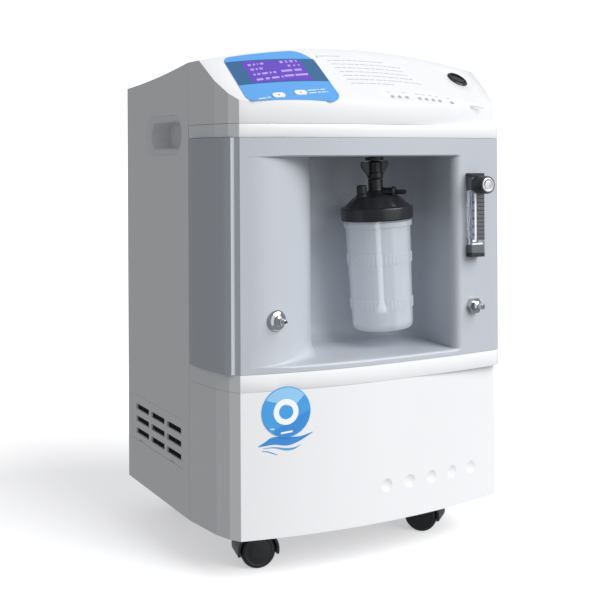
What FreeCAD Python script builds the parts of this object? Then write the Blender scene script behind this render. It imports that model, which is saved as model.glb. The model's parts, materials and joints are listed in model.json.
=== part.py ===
"""Oxygen concentrator: a floor-standing cabinet on four twin-wheel casters.

Millimetres, +X to the viewer's right, +Y to the back, +Z up, floor at Z = 0.
Depths are measured back from the plane through the two front corner edges (edge_y).
"""
import FreeCAD, Part
import math
import os
import re

import Sketcher
from FreeCAD import Matrix, Placement, Rotation, Vector

DIMENSIONS = {
    # Cabinet outline
    "case_bottom": 49,
    "case_top": 591,
    "edge_y": -130.4,
    "half_width": 192.7,
    "shoulder_half": 185.6,
    "shoulder_depth": 32.5,
    "cheek_half": 178.9,
    "cheek_depth": 11.8,
    "corner_half": 171.4,
    "front_bow": 21.5,
    "seam_depth": 90,
    "seam_gap": 0.6,
    "case_depth": 306,
    "back_corner_radius": 14,
    "wall": 3,
    "reach": 36,
    # Crowned top
    "crown_rise": 21.5,
    "ridge_depth": 66,
    "panel_slope": 0.77,
    "mid_fall": 11.5,
    "mid_fall_depth": 195,
    "back_fall": 18.5,
    # Grey belt and its white trims
    "lower_trim_bottom": 208.5,
    "belt_bottom": 227,
    "belt_top": 483,
    "upper_trim_top": 498,
    "part_gap": 0.2,
    "trim_inner_half": 165,
    "trim_inner_depth": 14,
    "belt_split_x": 20,
    "belt_mid_x": 95,
    "belt_mid_bow": 18.6,
    "belt_corner_x": 161,
    "belt_corner_bow": 12.4,
    "belt_cheek_half": 175,
    "belt_cheek_bow": 3,
    "belt_turn_half": 183,
    "belt_turn_depth": 11.8,
    "belt_shoulder_half": 188,
    "belt_half_width": 192.7,
    # Recess for the humidifier
    "recess_floor": 234.5,
    "recess_ceiling": 462,
    "recess_back_depth": 96,
    "recess_start_x": -158,
    "roll_center_x": -138.4,
    "roll_center_depth": 80.35,
    "roll_radius": 86,
    "recess_right_x": 100,
    "recess_fillet": 55,
    "front_clear": 60,
    # Side handles
    "handle_depth": 169,
    "handle_height": 488,
    "handle_rim_length": 120,
    "handle_rim_height": 46,
    "handle_mouth_length": 106,
    "handle_mouth_height": 32,
    "handle_rim_thickness": 7,
    "handle_pocket_depth": 30,
    # Air intake on the left side
    "filter_front_depth": 110,
    "filter_back_depth": 282,
    "filter_bottom": 102,
    "filter_top": 159,
    "door_thickness": 3,
    "slot_length": 45,
    "slot_height": 7,
    "slot_pitch": 15.2,
    "slot_column_pitch": 52.5,
    "slot_start_depth": 116,
    "slot_bottom": 110.6,
    "foam_thickness": 9,
    "clip_width": 12,
    "clip_height": 3,
    "clip_inset": 27,
    # Rear face
    "grille_half_width": 70,
    "grille_bottom": 87,
    "grille_height": 66,
    "grille_thickness": 2,
    "grille_slot_height": 4,
    "grille_slot_pitch": 9,
    "inlet_x": 128,
    "inlet_height": 101,
    "inlet_flange_width": 50,
    "inlet_flange_height": 29,
    "inlet_body_width": 27.4,
    "inlet_body_height": 19.6,
    "inlet_socket_width": 24.4,
    "inlet_socket_height": 16.4,
    "inlet_depth": 20,
    "inlet_flange_thickness": 2,
    "screw_head_radius": 4,
    "screw_head_height": 1.8,
    "screw_shank_radius": 1.9,
    "screw_length": 9,
    # Control panel
    "overlay_left": -163,
    "overlay_right": -53,
    "overlay_top": 5,
    "overlay_bottom": 90,
    "overlay_skew": 13,
    "overlay_lean": 12,
    "overlay_turn_x": 4.4,
    "overlay_turn_y": 1.8,
    "overlay_thickness": 0.6,
    "overlay_radius": 8,
    "overlay_big_radius": 26,
    "lcd_x": -112,
    "lcd_down": 43,
    "lcd_width": 76,
    "lcd_height": 43,
    "lcd_thickness": 8,
    "board_thickness": 1.6,
    "board_width": 120,
    "board_height": 84,
    "button_left_x": -125.3,
    "button_right_x": -98.3,
    "button_down": 88,
    "button_length": 15,
    "button_width": 8.6,
    "button_rise": 1.5,
    "button_skirt": 5,
    "button_gap": 0.25,
    "led_radius": 2.2,
    "led_gap": 0.1,
    "led_down": 99,
    "led_height": 5,
    "switch_x": 146,
    "switch_down": 36,
    "switch_outer_radius": 13.5,
    "switch_body_radius": 11.8,
    "switch_bore_radius": 10.2,
    "switch_rim_height": 2,
    "switch_depth": 16,
    "rocker_radius": 9.3,
    "rocker_height": 6,
    "rocker_tilt": 7,
    # Badge and dimples of the lower cover
    "badge_x": -121.5,
    "badge_height": 185,
    "badge_radius": 27.5,
    "badge_thickness": 0.5,
    "dimple_height": 90,
    "dimple_first_x": 1,
    "dimple_pitch": 31.8,
    "dimple_radius": 7.5,
    "dimple_depth": 1.4,
    # Humidifier, heights measured down from the recess ceiling along its own axis
    "bottle_x": 25,
    "bottle_depth": 40,
    "bottle_tilt": 3.2,
    "lid_radius": 43,
    "lid_bottom": -75,
    "lid_rim_top": -60,
    "lid_shoulder_radius": 38.5,
    "lid_cone_radius": 25,
    "lid_cone_top": -47,
    "neck_radius": 8.8,
    "neck_base": -42,
    "neck_top": -26.5,
    "lid_bore_radius": 37.4,
    "lid_seat": -62,
    "tube_bore_radius": 3.2,
    "jar_neck_radius": 37,
    "jar_neck_top": -65,
    "jar_flange_radius": 40.5,
    "jar_flange_top": -77,
    "jar_flange_bottom": -83,
    "jar_top_radius": 38.5,
    "jar_bottom_radius": 35.8,
    "jar_bottom": -204,
    "jar_wall": 2,
    "jar_band": 0.9,
    "upper_band_top": -113.5,
    "upper_band_bottom": -127,
    "lower_band_top": -167,
    "lower_band_bottom": -180,
    "gasket_inner_radius": 33.5,
    "tube_radius": 3,
    "tube_inner_radius": 1.9,
    "tube_top": -32,
    "tube_bottom": -179,
    "diffuser_radius": 6,
    "diffuser_height": 8,
    "nut_radius": 9.4,
    "nut_top_radius": 8,
    "nut_bottom": -26,
    "nut_top": -5.5,
    "wing_span": 38,
    "wing_thickness": 3.4,
    "wing_bottom": -22,
    "port_flange_radius": 11,
    "port_flange_top": -0.9,
    "port_flange_bottom": -4.5,
    "nipple_radius": 4.4,
    "nipple_bottom": -25,
    "port_shank_radius": 6,
    "port_shank_top": 14,
    "relief_x": -19.6,
    "relief_boss_radius": 7,
    "relief_boss_top": -44,
    "relief_radius": 6,
    "relief_top": -33,
    "outlet_height": -43,
    "outlet_boss_radius": 5.6,
    "outlet_boss_end": 27,
    "outlet_tip_radius": 2.5,
    "outlet_tip_end": 38,
    "outlet_swing": 55,
    # Flowmeter
    "flow_x": 127,
    "flow_bottom": 342.6,
    "flow_top": 441.5,
    "flow_half_width": 9.5,
    "flow_back_bow": 17.2,
    "flow_front_bow": 27.5,
    "flow_cap_height": 4.5,
    "flow_bore_radius": 4.1,
    "flow_seat": 358.4,
    "flow_bore_top": 420,
    "flow_inlet_radius": 2,
    "float_radius": 3.4,
    "knob_height": 428,
    "knob_radius": 10.5,
    "knob_length": 18.5,
    "knob_gap": 0.5,
    "cap_radius": 8.4,
    "cap_rise": 0.8,
    "cap_recess": 1.2,
    "stem_radius": 2.5,
    "stem_clearance": 0.05,
    "port_stud_radius": 4,
    "port_stud_length": 26,
    "port_stud_lower": 353,
    "port_stud_upper": 432,
    # Outlets
    "outlet_x": -130,
    "outlet_depth": -5.3,
    "outlet_turn": 5.6,
    "outlet_level": 284,
    "flange_radius": 11.5,
    "nozzle_radius": 3.2,
    "nozzle_end": 18,
    "shank_radius": 5,
    "shank_end": 14,
    "nebulizer_x": 127.6,
    "nebulizer_depth": -16.1,
    "nebulizer_turn": 5.4,
    "nut_flats": 17,
    "nut_thickness": 5,
    # Casters
    "front_caster_x": 116,
    "front_caster_depth": 52,
    "rear_caster_x": 112,
    "rear_caster_depth": 262,
    "wheel_radius": 20,
    "wheel_width": 15,
    "wheel_inner_offset": 4.2,
    "caster_trail": 12,
    "axle_radius": 3,
    "axle_bore_gap": 0.05,
    "hood_radius": 24,
    "hood_half_width": 17.5,
    "hood_gap": 1.2,
    "hood_top": 44,
    "hood_lower": 15,
    "web_half_width": 3.6,
    "stem_post_radius": 5,
    "stem_post_bottom": 38,
    "collar_radius": 9,
    "collar_bottom": 45,
    # Inside
    "base_thickness": 3,
    "base_margin": 5,
    "base_front_depth": 28,
    "shelf_height": 247,
    "shelf_thickness": 2,
    "motor_radius": 48,
    "motor_half_length": 62,
    "motor_depth": 205,
    "motor_height": 129,
    "head_length": 46,
    "head_width": 84,
    "head_height": 104,
    "mount_radius": 11,
    "mount_spread_x": 85,
    "mount_spread_y": 34,
    "fan_size": 120,
    "fan_thickness": 25,
    "fan_hole_radius": 57,
    "fan_depth": 205,
    "fan_hub_radius": 19,
    "fan_blade_radius": 55,
    "fan_blade_count": 7,
    "fan_pin_radius": 2,
    "sieve_radius": 44,
    "sieve_length": 262,
    "sieve_first_x": -92,
    "sieve_second_x": 12,
    "sieve_depth": 186,
    "tank_x": 112,
    "tank_radius": 40,
    "tank_length": 200,
    "manifold_length": 150,
    "manifold_width": 46,
    "manifold_height": 28,
    "manifold_x": -40,
    "mainboard_half_width": 130,
    "mainboard_bottom": 281,
    "mainboard_top": 491,
    "mainboard_depth": 272,
}

LED_POSITIONS = (17, 27, 37, 55, 64.5, 74, 83.5, 101)
ARC_INSET = 1 - math.sqrt(0.5)
CASTER_TURNS = {"front_left": 77, "front_right": 42, "rear_left": 60, "rear_right": 75}

doc = FreeCAD.newDocument("oxygen_concentrator")
sheet = doc.addObject("Spreadsheet::Sheet", "dim")
for row, (alias, number) in enumerate(DIMENSIONS.items(), start=1):
    sheet.set(f"A{row}", alias)
    sheet.set(f"B{row}", str(number))
    sheet.setAlias(f"B{row}", alias)
doc.recompute()

nodes = {}


# ---------------------------------------------------------------- helpers


def size(alias):
    """A driving dimension as a number."""
    return float(sheet.get(alias))


def formula(text):
    """An expression in dimension names, written as the document's own expression."""
    return re.sub(r"[a-z][a-z_]*", lambda word: "dim." + word.group(0), str(text))


def value(text):
    """The number that an expression in dimension names stands for."""
    return float(sheet.evalExpression(formula(text)))


def bind(item, **formulas):
    """Tie properties of an object to the sheet."""
    for name, text in formulas.items():
        item.setExpression(name, formula(text))
    return item


def place(item, x="0", y="0", z="0", rotation=None):
    """Turn an object and tie its position to the sheet."""
    if rotation is not None:
        item.Placement = Placement(Vector(), rotation)
    for axis, text in zip("xyz", (x, y, z)):
        item.setExpression(f"Placement.Base.{axis}", formula(text))
    return item


def set_frame(item, frame):
    """Give an object a placement worked out from the sheet."""
    for axis in "xyz":
        item.setExpression(f"Placement.Base.{axis}", None)
    item.Placement = frame
    return item


def box(name, x, y, z, length, width, height):
    item = doc.addObject("Part::Box", name)
    bind(item, Length=length, Width=width, Height=height)
    return place(item, x, y, z)


def cylinder(name, radius, height, x="0", y="0", z="0", rotation=None):
    item = doc.addObject("Part::Cylinder", name)
    bind(item, Radius=radius, Height=height)
    return place(item, x, y, z, rotation)


def fuse(name, *items):
    item = doc.addObject("Part::MultiFuse", name)
    item.Shapes = list(items)
    return item


def common(name, *items):
    item = doc.addObject("Part::MultiCommon", name)
    item.Shapes = list(items)
    return item


def cut(name, base, *tools):
    """Cut any number of tools from a base."""
    item = doc.addObject("Part::Cut", name)
    item.Base = base
    item.Tool = tools[0] if len(tools) == 1 else compound(name + "_tools", *tools)
    return item


def compound(name, *items):
    item = doc.addObject("Part::Compound", name)
    item.Links = list(items)
    return item


def node(label, item):
    """Register a finished sub-part under its own name."""
    item.Label = label
    nodes[label] = item
    return item


def draw(sketch, corners, arcs=None):
    """Draw a closed outline through corners; arcs maps a corner to a point its edge passes."""
    arcs = arcs or {}
    points = [Vector(value(x), value(y), 0) for x, y in corners]
    ends = []
    for index, start in enumerate(points):
        end = points[(index + 1) % len(points)]
        if index in arcs:
            middle = Vector(value(arcs[index][0]), value(arcs[index][1]), 0)
            sketch.addGeometry(Part.Arc(start, middle, end), False)
            turns_left = (middle - start).cross(end - start).z > 0
            ends.append((1, 2) if turns_left else (2, 1))
        else:
            sketch.addGeometry(Part.LineSegment(start, end), False)
            ends.append((1, 2))
    for index in range(len(points)):
        after = (index + 1) % len(points)
        sketch.addConstraint(Sketcher.Constraint("Coincident", index, ends[index][1], after,
                                                 ends[after][0]))
    for index, (x, y) in enumerate(corners):
        pin_corner(sketch, index, ends[index][0], "DistanceX", x, -2)
        pin_corner(sketch, index, ends[index][0], "DistanceY", y, -1)


def pin_corner(sketch, edge, end, kind, text, axis):
    """Hold one coordinate of a corner at a dimension from the sheet."""
    distance = value(text)
    if abs(distance) < 1e-9:
        sketch.addConstraint(Sketcher.Constraint("PointOnObject", edge, end, axis))
        return
    row_number = sketch.addConstraint(Sketcher.Constraint(kind, -1, 1, edge, end, distance))
    sketch.setExpression(f"Constraints[{row_number}]", formula(text))


def outline(name, corners, arcs=None, z="0", rotation=None, x="0", y="0"):
    sketch = doc.addObject("Sketcher::SketchObject", name)
    draw(sketch, corners, arcs)
    return place(sketch, x, y, z, rotation)


def offset_outline(name, sketch, distance):
    item = doc.addObject("Part::Offset2D", name)
    item.Source = sketch
    item.Join = "Arc"
    return bind(item, Value=distance)


def extrude(name, profile, length, direction=None):
    item = doc.addObject("Part::Extrusion", name)
    item.Base = profile
    item.Solid = True
    if direction is None:
        item.DirMode = "Normal"
    else:
        item.DirMode = "Custom"
        item.Dir = direction
    return bind(item, LengthFwd=length)


def revolve(name, corners, arcs=None):
    """A turned piece: corners are (radius, height) pairs about its own Z axis."""
    body = doc.addObject("PartDesign::Body", name)
    sketch = body.newObject("Sketcher::SketchObject", name + "_profile")
    plane = [item for item in body.Origin.OriginFeatures if item.Role == "XZ_Plane"][0]
    sketch.AttachmentSupport = (plane, "")
    sketch.MapMode = "FlatFace"
    draw(sketch, corners, arcs)
    turned = body.newObject("PartDesign::Revolution", name + "_turned")
    turned.Profile = sketch
    turned.ReferenceAxis = (sketch, ["V_Axis"])
    turned.Angle = 360
    return body


def pad(name, corners, thickness, arcs=None, plane_role="XY_Plane"):
    """A flat piece: an outline on one of the body's own planes, padded to a thickness."""
    body = doc.addObject("PartDesign::Body", name)
    sketch = body.newObject("Sketcher::SketchObject", name + "_outline")
    plane = [item for item in body.Origin.OriginFeatures if item.Role == plane_role][0]
    sketch.AttachmentSupport = (plane, "")
    sketch.MapMode = "FlatFace"
    draw(sketch, corners, arcs)
    padded = body.newObject("PartDesign::Pad", name + "_pad")
    padded.Profile = sketch
    bind(padded, Length=thickness)
    return body


def stadium(name, length, height, thickness):
    """A slot-shaped prism lying along its own X, centred on its axis."""
    half = f"({length} - {height}) / 2"
    corners = [
        (f"0 - {half}", f"0 - {height} / 2"),
        (half, f"0 - {height} / 2"),
        (half, f"{height} / 2"),
        (f"0 - {half}", f"{height} / 2"),
    ]
    arcs = {1: (f"{half} + {height} / 2", "0"), 3: (f"0 - {half} - {height} / 2", "0")}
    return pad(name, corners, thickness, arcs)


def hexagon(name, flats, thickness):
    """A hexagonal prism about its own Z axis."""
    radius = f"{flats} / {math.sqrt(3)}"
    corners = [(f"{radius} * {math.cos(k * math.pi / 3):.6f}",
                f"{radius} * {math.sin(k * math.pi / 3):.6f}")
               for k in range(6)]
    return pad(name, corners, thickness)


def crown_radius():
    half, rise = size("half_width"), size("crown_rise")
    return (half ** 2 + rise ** 2) / (2 * rise)


def slope_frame(x, down, lift=0.0, tilt=0.0):
    """Frame on the slanted control panel: Z is its outward normal and Y points up the slope."""
    slope = size("panel_slope")
    run = math.hypot(1, slope)
    drop = crown_radius() - math.sqrt(crown_radius() ** 2 - x ** 2)
    depth = size("ridge_depth") - down / run
    height = size("case_top") - drop - down * slope / run
    normal = Vector(x / (crown_radius() - drop), -slope, 1).normalize()
    uphill = Vector(0, 1, slope).normalize()
    across = uphill.cross(normal).normalize()
    uphill = normal.cross(across)
    matrix = Matrix(across.x, uphill.x, normal.x, 0, across.y, uphill.y, normal.y, 0,
                    across.z, uphill.z, normal.z, 0, 0, 0, 0, 1)
    origin = Vector(x, size("edge_y") + depth, height) + normal * lift
    turn = Placement(Vector(), Rotation(Vector(1, 0, 0), tilt))
    return Placement(origin, Rotation(matrix)).multiply(turn)


def bottle_frame():
    """Frame of the humidifier, hanging from the recess ceiling with its foot swung right."""
    hang = Vector(size("bottle_x"), size("edge_y") + size("bottle_depth"), size("recess_ceiling"))
    return Placement(hang, Rotation(Vector(0, 1, 0), -size("bottle_tilt")))


def front_frame(x, depth, height, turn):
    """Frame on the front with Z pointing out, turned about the vertical towards +X."""
    facing = Rotation(Vector(0, 0, 1), turn).multiply(Rotation(Vector(1, 0, 0), 90))
    return Placement(Vector(size(x), size("edge_y") + size(depth), size(height)), facing)


FACE_FORWARD = Rotation(Vector(1, 0, 0), 90)
FACE_BACK = Rotation(Vector(1, 0, 0), -90)
FACE_RIGHT = Rotation(Vector(0, 1, 0), 90)
FACE_LEFT = Rotation(Vector(0, 1, 0), -90)


# ---------------------------------------------------------------- cabinet outlines


def front_plan(name, z, reach="0"):
    """Plan of the front case: straight shoulders, chamfered corners, bowed front."""
    back = f"edge_y + seam_depth + {reach}"
    corners = [
        ("0 - half_width", back),
        ("0 - shoulder_half", "edge_y + shoulder_depth"),
        ("0 - cheek_half", "edge_y + cheek_depth"),
        ("0 - corner_half", "edge_y"),
        ("corner_half", "edge_y"),
        ("cheek_half", "edge_y + cheek_depth"),
        ("shoulder_half", "edge_y + shoulder_depth"),
        ("half_width", back),
    ]
    return outline(name, corners, {3: ("0", "edge_y - front_bow")}, z)


def belt_plan(name, z, reach="0"):
    """Plan of the belt: as the front case on the left, standing proud on the right."""
    back = f"edge_y + seam_depth + {reach}"
    corners = [
        ("0 - half_width", back),
        ("0 - shoulder_half", "edge_y + shoulder_depth"),
        ("0 - cheek_half", "edge_y + cheek_depth"),
        ("0 - corner_half", "edge_y"),
        ("belt_split_x", "edge_y - front_bow + 0.3"),
        ("belt_corner_x", "edge_y - belt_corner_bow"),
        ("belt_cheek_half", "edge_y - belt_cheek_bow"),
        ("belt_turn_half", "edge_y + belt_turn_depth"),
        ("belt_shoulder_half", "edge_y + shoulder_depth"),
        ("belt_half_width", back),
    ]
    arcs = {
        3: ("0 - corner_half / 2", "edge_y - front_bow * 0.775"),
        4: ("belt_mid_x", "edge_y - belt_mid_bow"),
        5: ("belt_corner_x + 9", "edge_y - belt_corner_bow + 3.4"),
    }
    return outline(name, corners, arcs, z)


def wall_ring(name, plan, thickness, z, height):
    """A U-shaped wall that follows a plan and is open at the seam."""
    long_plan = plan(name + "_long", z, "reach")
    outside = extrude(name + "_outside", plan(name + "_plan", z), height)
    inside = extrude(name + "_inside", offset_outline(name + "_inset", long_plan, f"0 - {thickness}"),
                     height)
    return cut(name, outside, inside)


def arch_section(name, side, depth, fall, top_inset):
    """An upright section of the case: vertical sides under a crowned top."""
    top = f"case_top - crown_rise - {fall} - {top_inset}"
    corners = [
        (f"0 - {side}", "case_bottom"),
        (side, "case_bottom"),
        (side, top),
        (f"0 - {side}", top),
    ]
    arcs = {2: ("0", f"case_top - {fall} * 1.15 - {top_inset}")}
    return outline(name, corners, arcs, "0", FACE_FORWARD, "0", f"edge_y + {depth}")


def sloped_top(name, inset):
    """The space under the slanted panel and the short crowned shelf behind it."""
    lift = "case_top - crown_rise"
    slope = size("panel_slope")
    profile = outline(
        name + "_arch",
        [("0 - half_width", "0"), ("half_width", "0"), ("half_width", f"{lift} - {inset}"),
         ("0 - half_width", f"{lift} - {inset}")],
        {2: ("0", f"case_top - {inset}")}, "0", FACE_FORWARD, "0", "edge_y + ridge_depth")
    slanted = extrude(name + "_slanted", profile, "ridge_depth * 2.4", Vector(0, -1, -slope))
    level = extrude(name + "_level", profile, "seam_depth", Vector(0, 1, 0))
    return fuse(name, slanted, level)


# ---------------------------------------------------------------- front case


def make_lower_cover():
    """White lower cover with its row of shallow dimples."""
    height = "lower_trim_bottom - case_bottom - part_gap"
    ring = wall_ring("lower_ring", front_plan, "wall", "case_bottom", height)
    ledge = extrude("lower_ledge", front_plan("ledge_plan", "lower_trim_bottom - part_gap - wall"),
                    "wall")
    dimples = []
    radius = "(dimple_radius ^ 2 + dimple_depth ^ 2) / (2 * dimple_depth)"
    bow_radius = (size("corner_half") ** 2 + size("front_bow") ** 2) / (2 * size("front_bow"))
    for index in range(5):
        ball = doc.addObject("Part::Sphere", f"dimple_{index}")
        bind(ball, Radius=radius)
        x = size("dimple_first_x") + index * size("dimple_pitch")
        surface = size("edge_y") - size("front_bow") + bow_radius - math.sqrt(bow_radius ** 2 - x ** 2)
        outward = Vector(x, -math.sqrt(bow_radius ** 2 - x ** 2), 0).normalize()
        lift = value(radius) - size("dimple_depth")
        ball.Placement = Placement(Vector(x, surface, size("dimple_height")) + outward * lift,
                                   Rotation())
        dimples.append(ball)
    node("lower_cover", cut("lower_cover_body", fuse("lower_shell", ring, ledge), *dimples))


def make_badge():
    """Round badge that follows the bow of the lower cover."""
    plan = front_plan("badge_plan", "case_bottom")
    skin = cut("badge_skin",
               extrude("badge_front", offset_outline("badge_proud", plan, "badge_thickness"),
                       "shelf_height"),
               extrude("badge_back", offset_outline("badge_seat", plan, "0.02"), "shelf_height"))
    disc = cylinder("badge_cylinder", "badge_radius", "front_clear", "badge_x", "edge_y + 20",
                    "badge_height",
                    FACE_FORWARD)
    badge = common("badge_disc", skin, disc)
    node("badge", badge)
    return badge


def make_trims(badge):
    """White trims under and over the belt, the lower one giving way to the badge."""
    for name, low, high in (("lower_trim", "lower_trim_bottom", "belt_bottom"),
                            ("upper_trim", "belt_top", "upper_trim_top")):
        band = extrude(f"{name}_band", belt_plan(f"{name}_plan", low), f"{high} - {low}")
        middle = box(f"{name}_middle", "0 - trim_inner_half", "edge_y + trim_inner_depth", f"{low} - 1",
                     "trim_inner_half * 2", "seam_depth", f"{high} - {low} + 2")
        node(name, cut(f"{name}_body", band, middle, badge))


def recess_outline(name, growth, z):
    """Plan of the recess: a broad roll on the left, a crease, and a round corner on the right."""
    radius = f"(roll_radius - {growth})"
    start_angle = math.acos((size("recess_start_x") - size("roll_center_x")) / size("roll_radius"))
    spots = []
    for angle in (-start_angle, -start_angle / 2):
        spots.append((f"roll_center_x + {radius} * {math.cos(angle):.6f}",
                      f"edge_y + roll_center_depth + {radius} * {math.sin(angle):.6f}"))
    crease = f"roll_center_x + {radius}"
    back = f"edge_y + recess_back_depth + {growth}"
    right = f"recess_right_x + {growth}"
    bend = "recess_right_x - recess_fillet"
    bend_depth = "edge_y + recess_back_depth - recess_fillet"
    diagonal = f"(recess_fillet + {growth}) * {math.sqrt(0.5):.6f}"
    corners = [
        spots[0],
        (crease, "edge_y + roll_center_depth"),
        (crease, back),
        (bend, back),
        (right, bend_depth),
        (right, "edge_y - front_clear"),
        (spots[0][0], "edge_y - front_clear"),
    ]
    arcs = {0: spots[1], 3: (f"{bend} + {diagonal}", f"{bend_depth} + {diagonal}")}
    return outline(name, corners, arcs, z)


def make_belt():
    """Grey belt panel with the humidifier recess moulded into it."""
    bottom = "belt_bottom + part_gap"
    height = "belt_top - belt_bottom - 2 * part_gap"
    ring = wall_ring("belt_ring", belt_plan, "wall", bottom, height)
    span = "recess_ceiling - recess_floor"
    around = extrude("liner_around", recess_outline("liner_plan", "wall", "recess_floor - wall"),
                     f"{span} + 2 * wall")
    within = extrude("liner_within", belt_plan("liner_limit", bottom, "reach"), height)
    liner = common("liner", around, within)
    cavity = extrude("cavity", recess_outline("cavity_plan", "0", "recess_floor"), span)
    outlet = set_frame(cylinder("outlet_hole", "shank_radius + 0.3", "front_clear"),
                       front_frame("outlet_x", "outlet_depth", "outlet_level", size("outlet_turn"))
                       .multiply(Placement(Vector(0, 0, -30), Rotation())))
    nebulizer = set_frame(cylinder("nebulizer_hole", "shank_radius + 0.3", "front_clear"),
                          front_frame("nebulizer_x", "nebulizer_depth", "outlet_level",
                                      size("nebulizer_turn"))
                          .multiply(Placement(Vector(0, 0, -30), Rotation())))
    port = cylinder("port_hole", "port_shank_radius + 1", "reach", "bottle_x", "edge_y + bottle_depth",
                    "recess_ceiling - wall")
    studs = [cylinder(f"stud_hole_{name}", "port_stud_radius + 0.2", "port_stud_length", "flow_x",
                      "edge_y + 4", name, FACE_FORWARD) for name in ("port_stud_lower",
                                                                     "port_stud_upper")]
    shell = fuse("belt_shell", ring, liner)
    node("belt_panel", cut("belt_body", shell, cavity, outlet, nebulizer, port, *studs))


def make_control_housing():
    """White upper front: upright fascia, slanted control panel and crowned ridge."""
    bottom = "upper_trim_top + part_gap"
    height = "case_top - upper_trim_top"
    outside = common("housing_outside", sloped_top("housing_top", "0"),
                     extrude("housing_prism", front_plan("housing_plan", bottom), height))
    long_plan = front_plan("housing_long", "upper_trim_top + part_gap + wall", "reach")
    inside = common("housing_inside", sloped_top("housing_under", "wall * 1.26"),
                    extrude("housing_hollow", offset_outline("housing_inset", long_plan, "0 - wall"),
                            height))
    window = box("lcd_window", "0", "0", "0", "lcd_width", "lcd_height", "reach")
    set_frame(window, slope_frame(size("lcd_x"), size("lcd_down")).multiply(
        Placement(Vector(-size("lcd_width") / 2, -size("lcd_height") / 2, -size("reach") / 2),
                  Rotation())))
    openings = [window]
    for side in ("left", "right"):
        hole = stadium(f"button_hole_{side}", "(button_length + 2 * button_gap)",
                       "(button_width + 2 * button_gap)",
                       "reach")
        openings.append(set_frame(hole, slope_frame(size(f"button_{side}_x"), size("button_down"),
                                                    -15)))
    for index, x in enumerate(LED_POSITIONS):
        openings.append(panel_cylinder(f"led_hole_{index}", "led_radius + led_gap", "reach", x,
                                       "led_down", -15))
    openings.append(panel_cylinder("switch_hole", "switch_body_radius + 0.2", "reach", size("switch_x"),
                                   "switch_down", -20))
    node("control_housing", cut("housing_body", outside, inside, *openings))


def panel_cylinder(name, radius, height, x, down, lift):
    """A cylinder standing square to the slanted panel."""
    item = doc.addObject("Part::Cylinder", name)
    bind(item, Radius=radius, Height=height)
    item.Placement = slope_frame(x, size(down), lift)
    return item


def make_overlay():
    """Printed overlay that follows the crowned slope, with holes for the two buttons."""
    skin = cut("overlay_skin", raised_slope("overlay_upper", "overlay_thickness * 1.26"),
               raised_slope("overlay_lower", "0.03"))
    run = f"{math.hypot(1, size('panel_slope')):.6f}"
    top = f"edge_y + ridge_depth - overlay_top / {run}"
    bottom = f"edge_y + ridge_depth - overlay_bottom / {run}"
    corners = [
        ("overlay_left + overlay_radius", bottom),
        ("overlay_right - overlay_radius - overlay_lean", f"{bottom} - overlay_skew"),
        ("overlay_right", f"{bottom} - overlay_skew + overlay_radius"),
        ("overlay_right", f"{top} - overlay_big_radius"),
        ("overlay_right - overlay_big_radius", top),
        ("overlay_left + overlay_radius", top),
        ("overlay_left", f"{top} - overlay_radius"),
        ("overlay_left", f"{bottom} + overlay_radius"),
    ]
    arcs = {
        1: ("overlay_right - overlay_turn_x", f"{bottom} - overlay_skew + overlay_turn_y"),
        3: (f"overlay_right - overlay_big_radius * {ARC_INSET}",
            f"{top} - overlay_big_radius * {ARC_INSET}"),
        5: (f"overlay_left + overlay_radius * {ARC_INSET}", f"{top} - overlay_radius * {ARC_INSET}"),
        7: (f"overlay_left + overlay_radius * {ARC_INSET}", f"{bottom} + overlay_radius * {ARC_INSET}"),
    }
    shape = extrude("overlay_prism", outline("overlay_outline", corners, arcs, "case_top / 2"),
                    "case_top")
    holes = []
    for side in ("left", "right"):
        hole = stadium(f"overlay_hole_{side}", "(button_length + 2 * button_gap)",
                       "(button_width + 2 * button_gap)", "reach")
        holes.append(set_frame(hole, slope_frame(size(f"button_{side}_x"), size("button_down"), -15)))
    node("control_overlay", cut("overlay_body", common("overlay_sheet", skin, shape), *holes))


def raised_slope(name, lift):
    """The solid under the slanted panel, raised by a small amount."""
    profile = outline(
        name + "_arch",
        [("0 - half_width", "case_top / 2"), ("half_width", "case_top / 2"),
         ("half_width", f"case_top - crown_rise + {lift}"),
         ("0 - half_width", f"case_top - crown_rise + {lift}")],
        {2: ("0", f"case_top + {lift}")}, "0", FACE_FORWARD, "0", "edge_y + ridge_depth")
    return extrude(name, profile, "ridge_depth * 2", Vector(0, -1, -size("panel_slope")))


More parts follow.
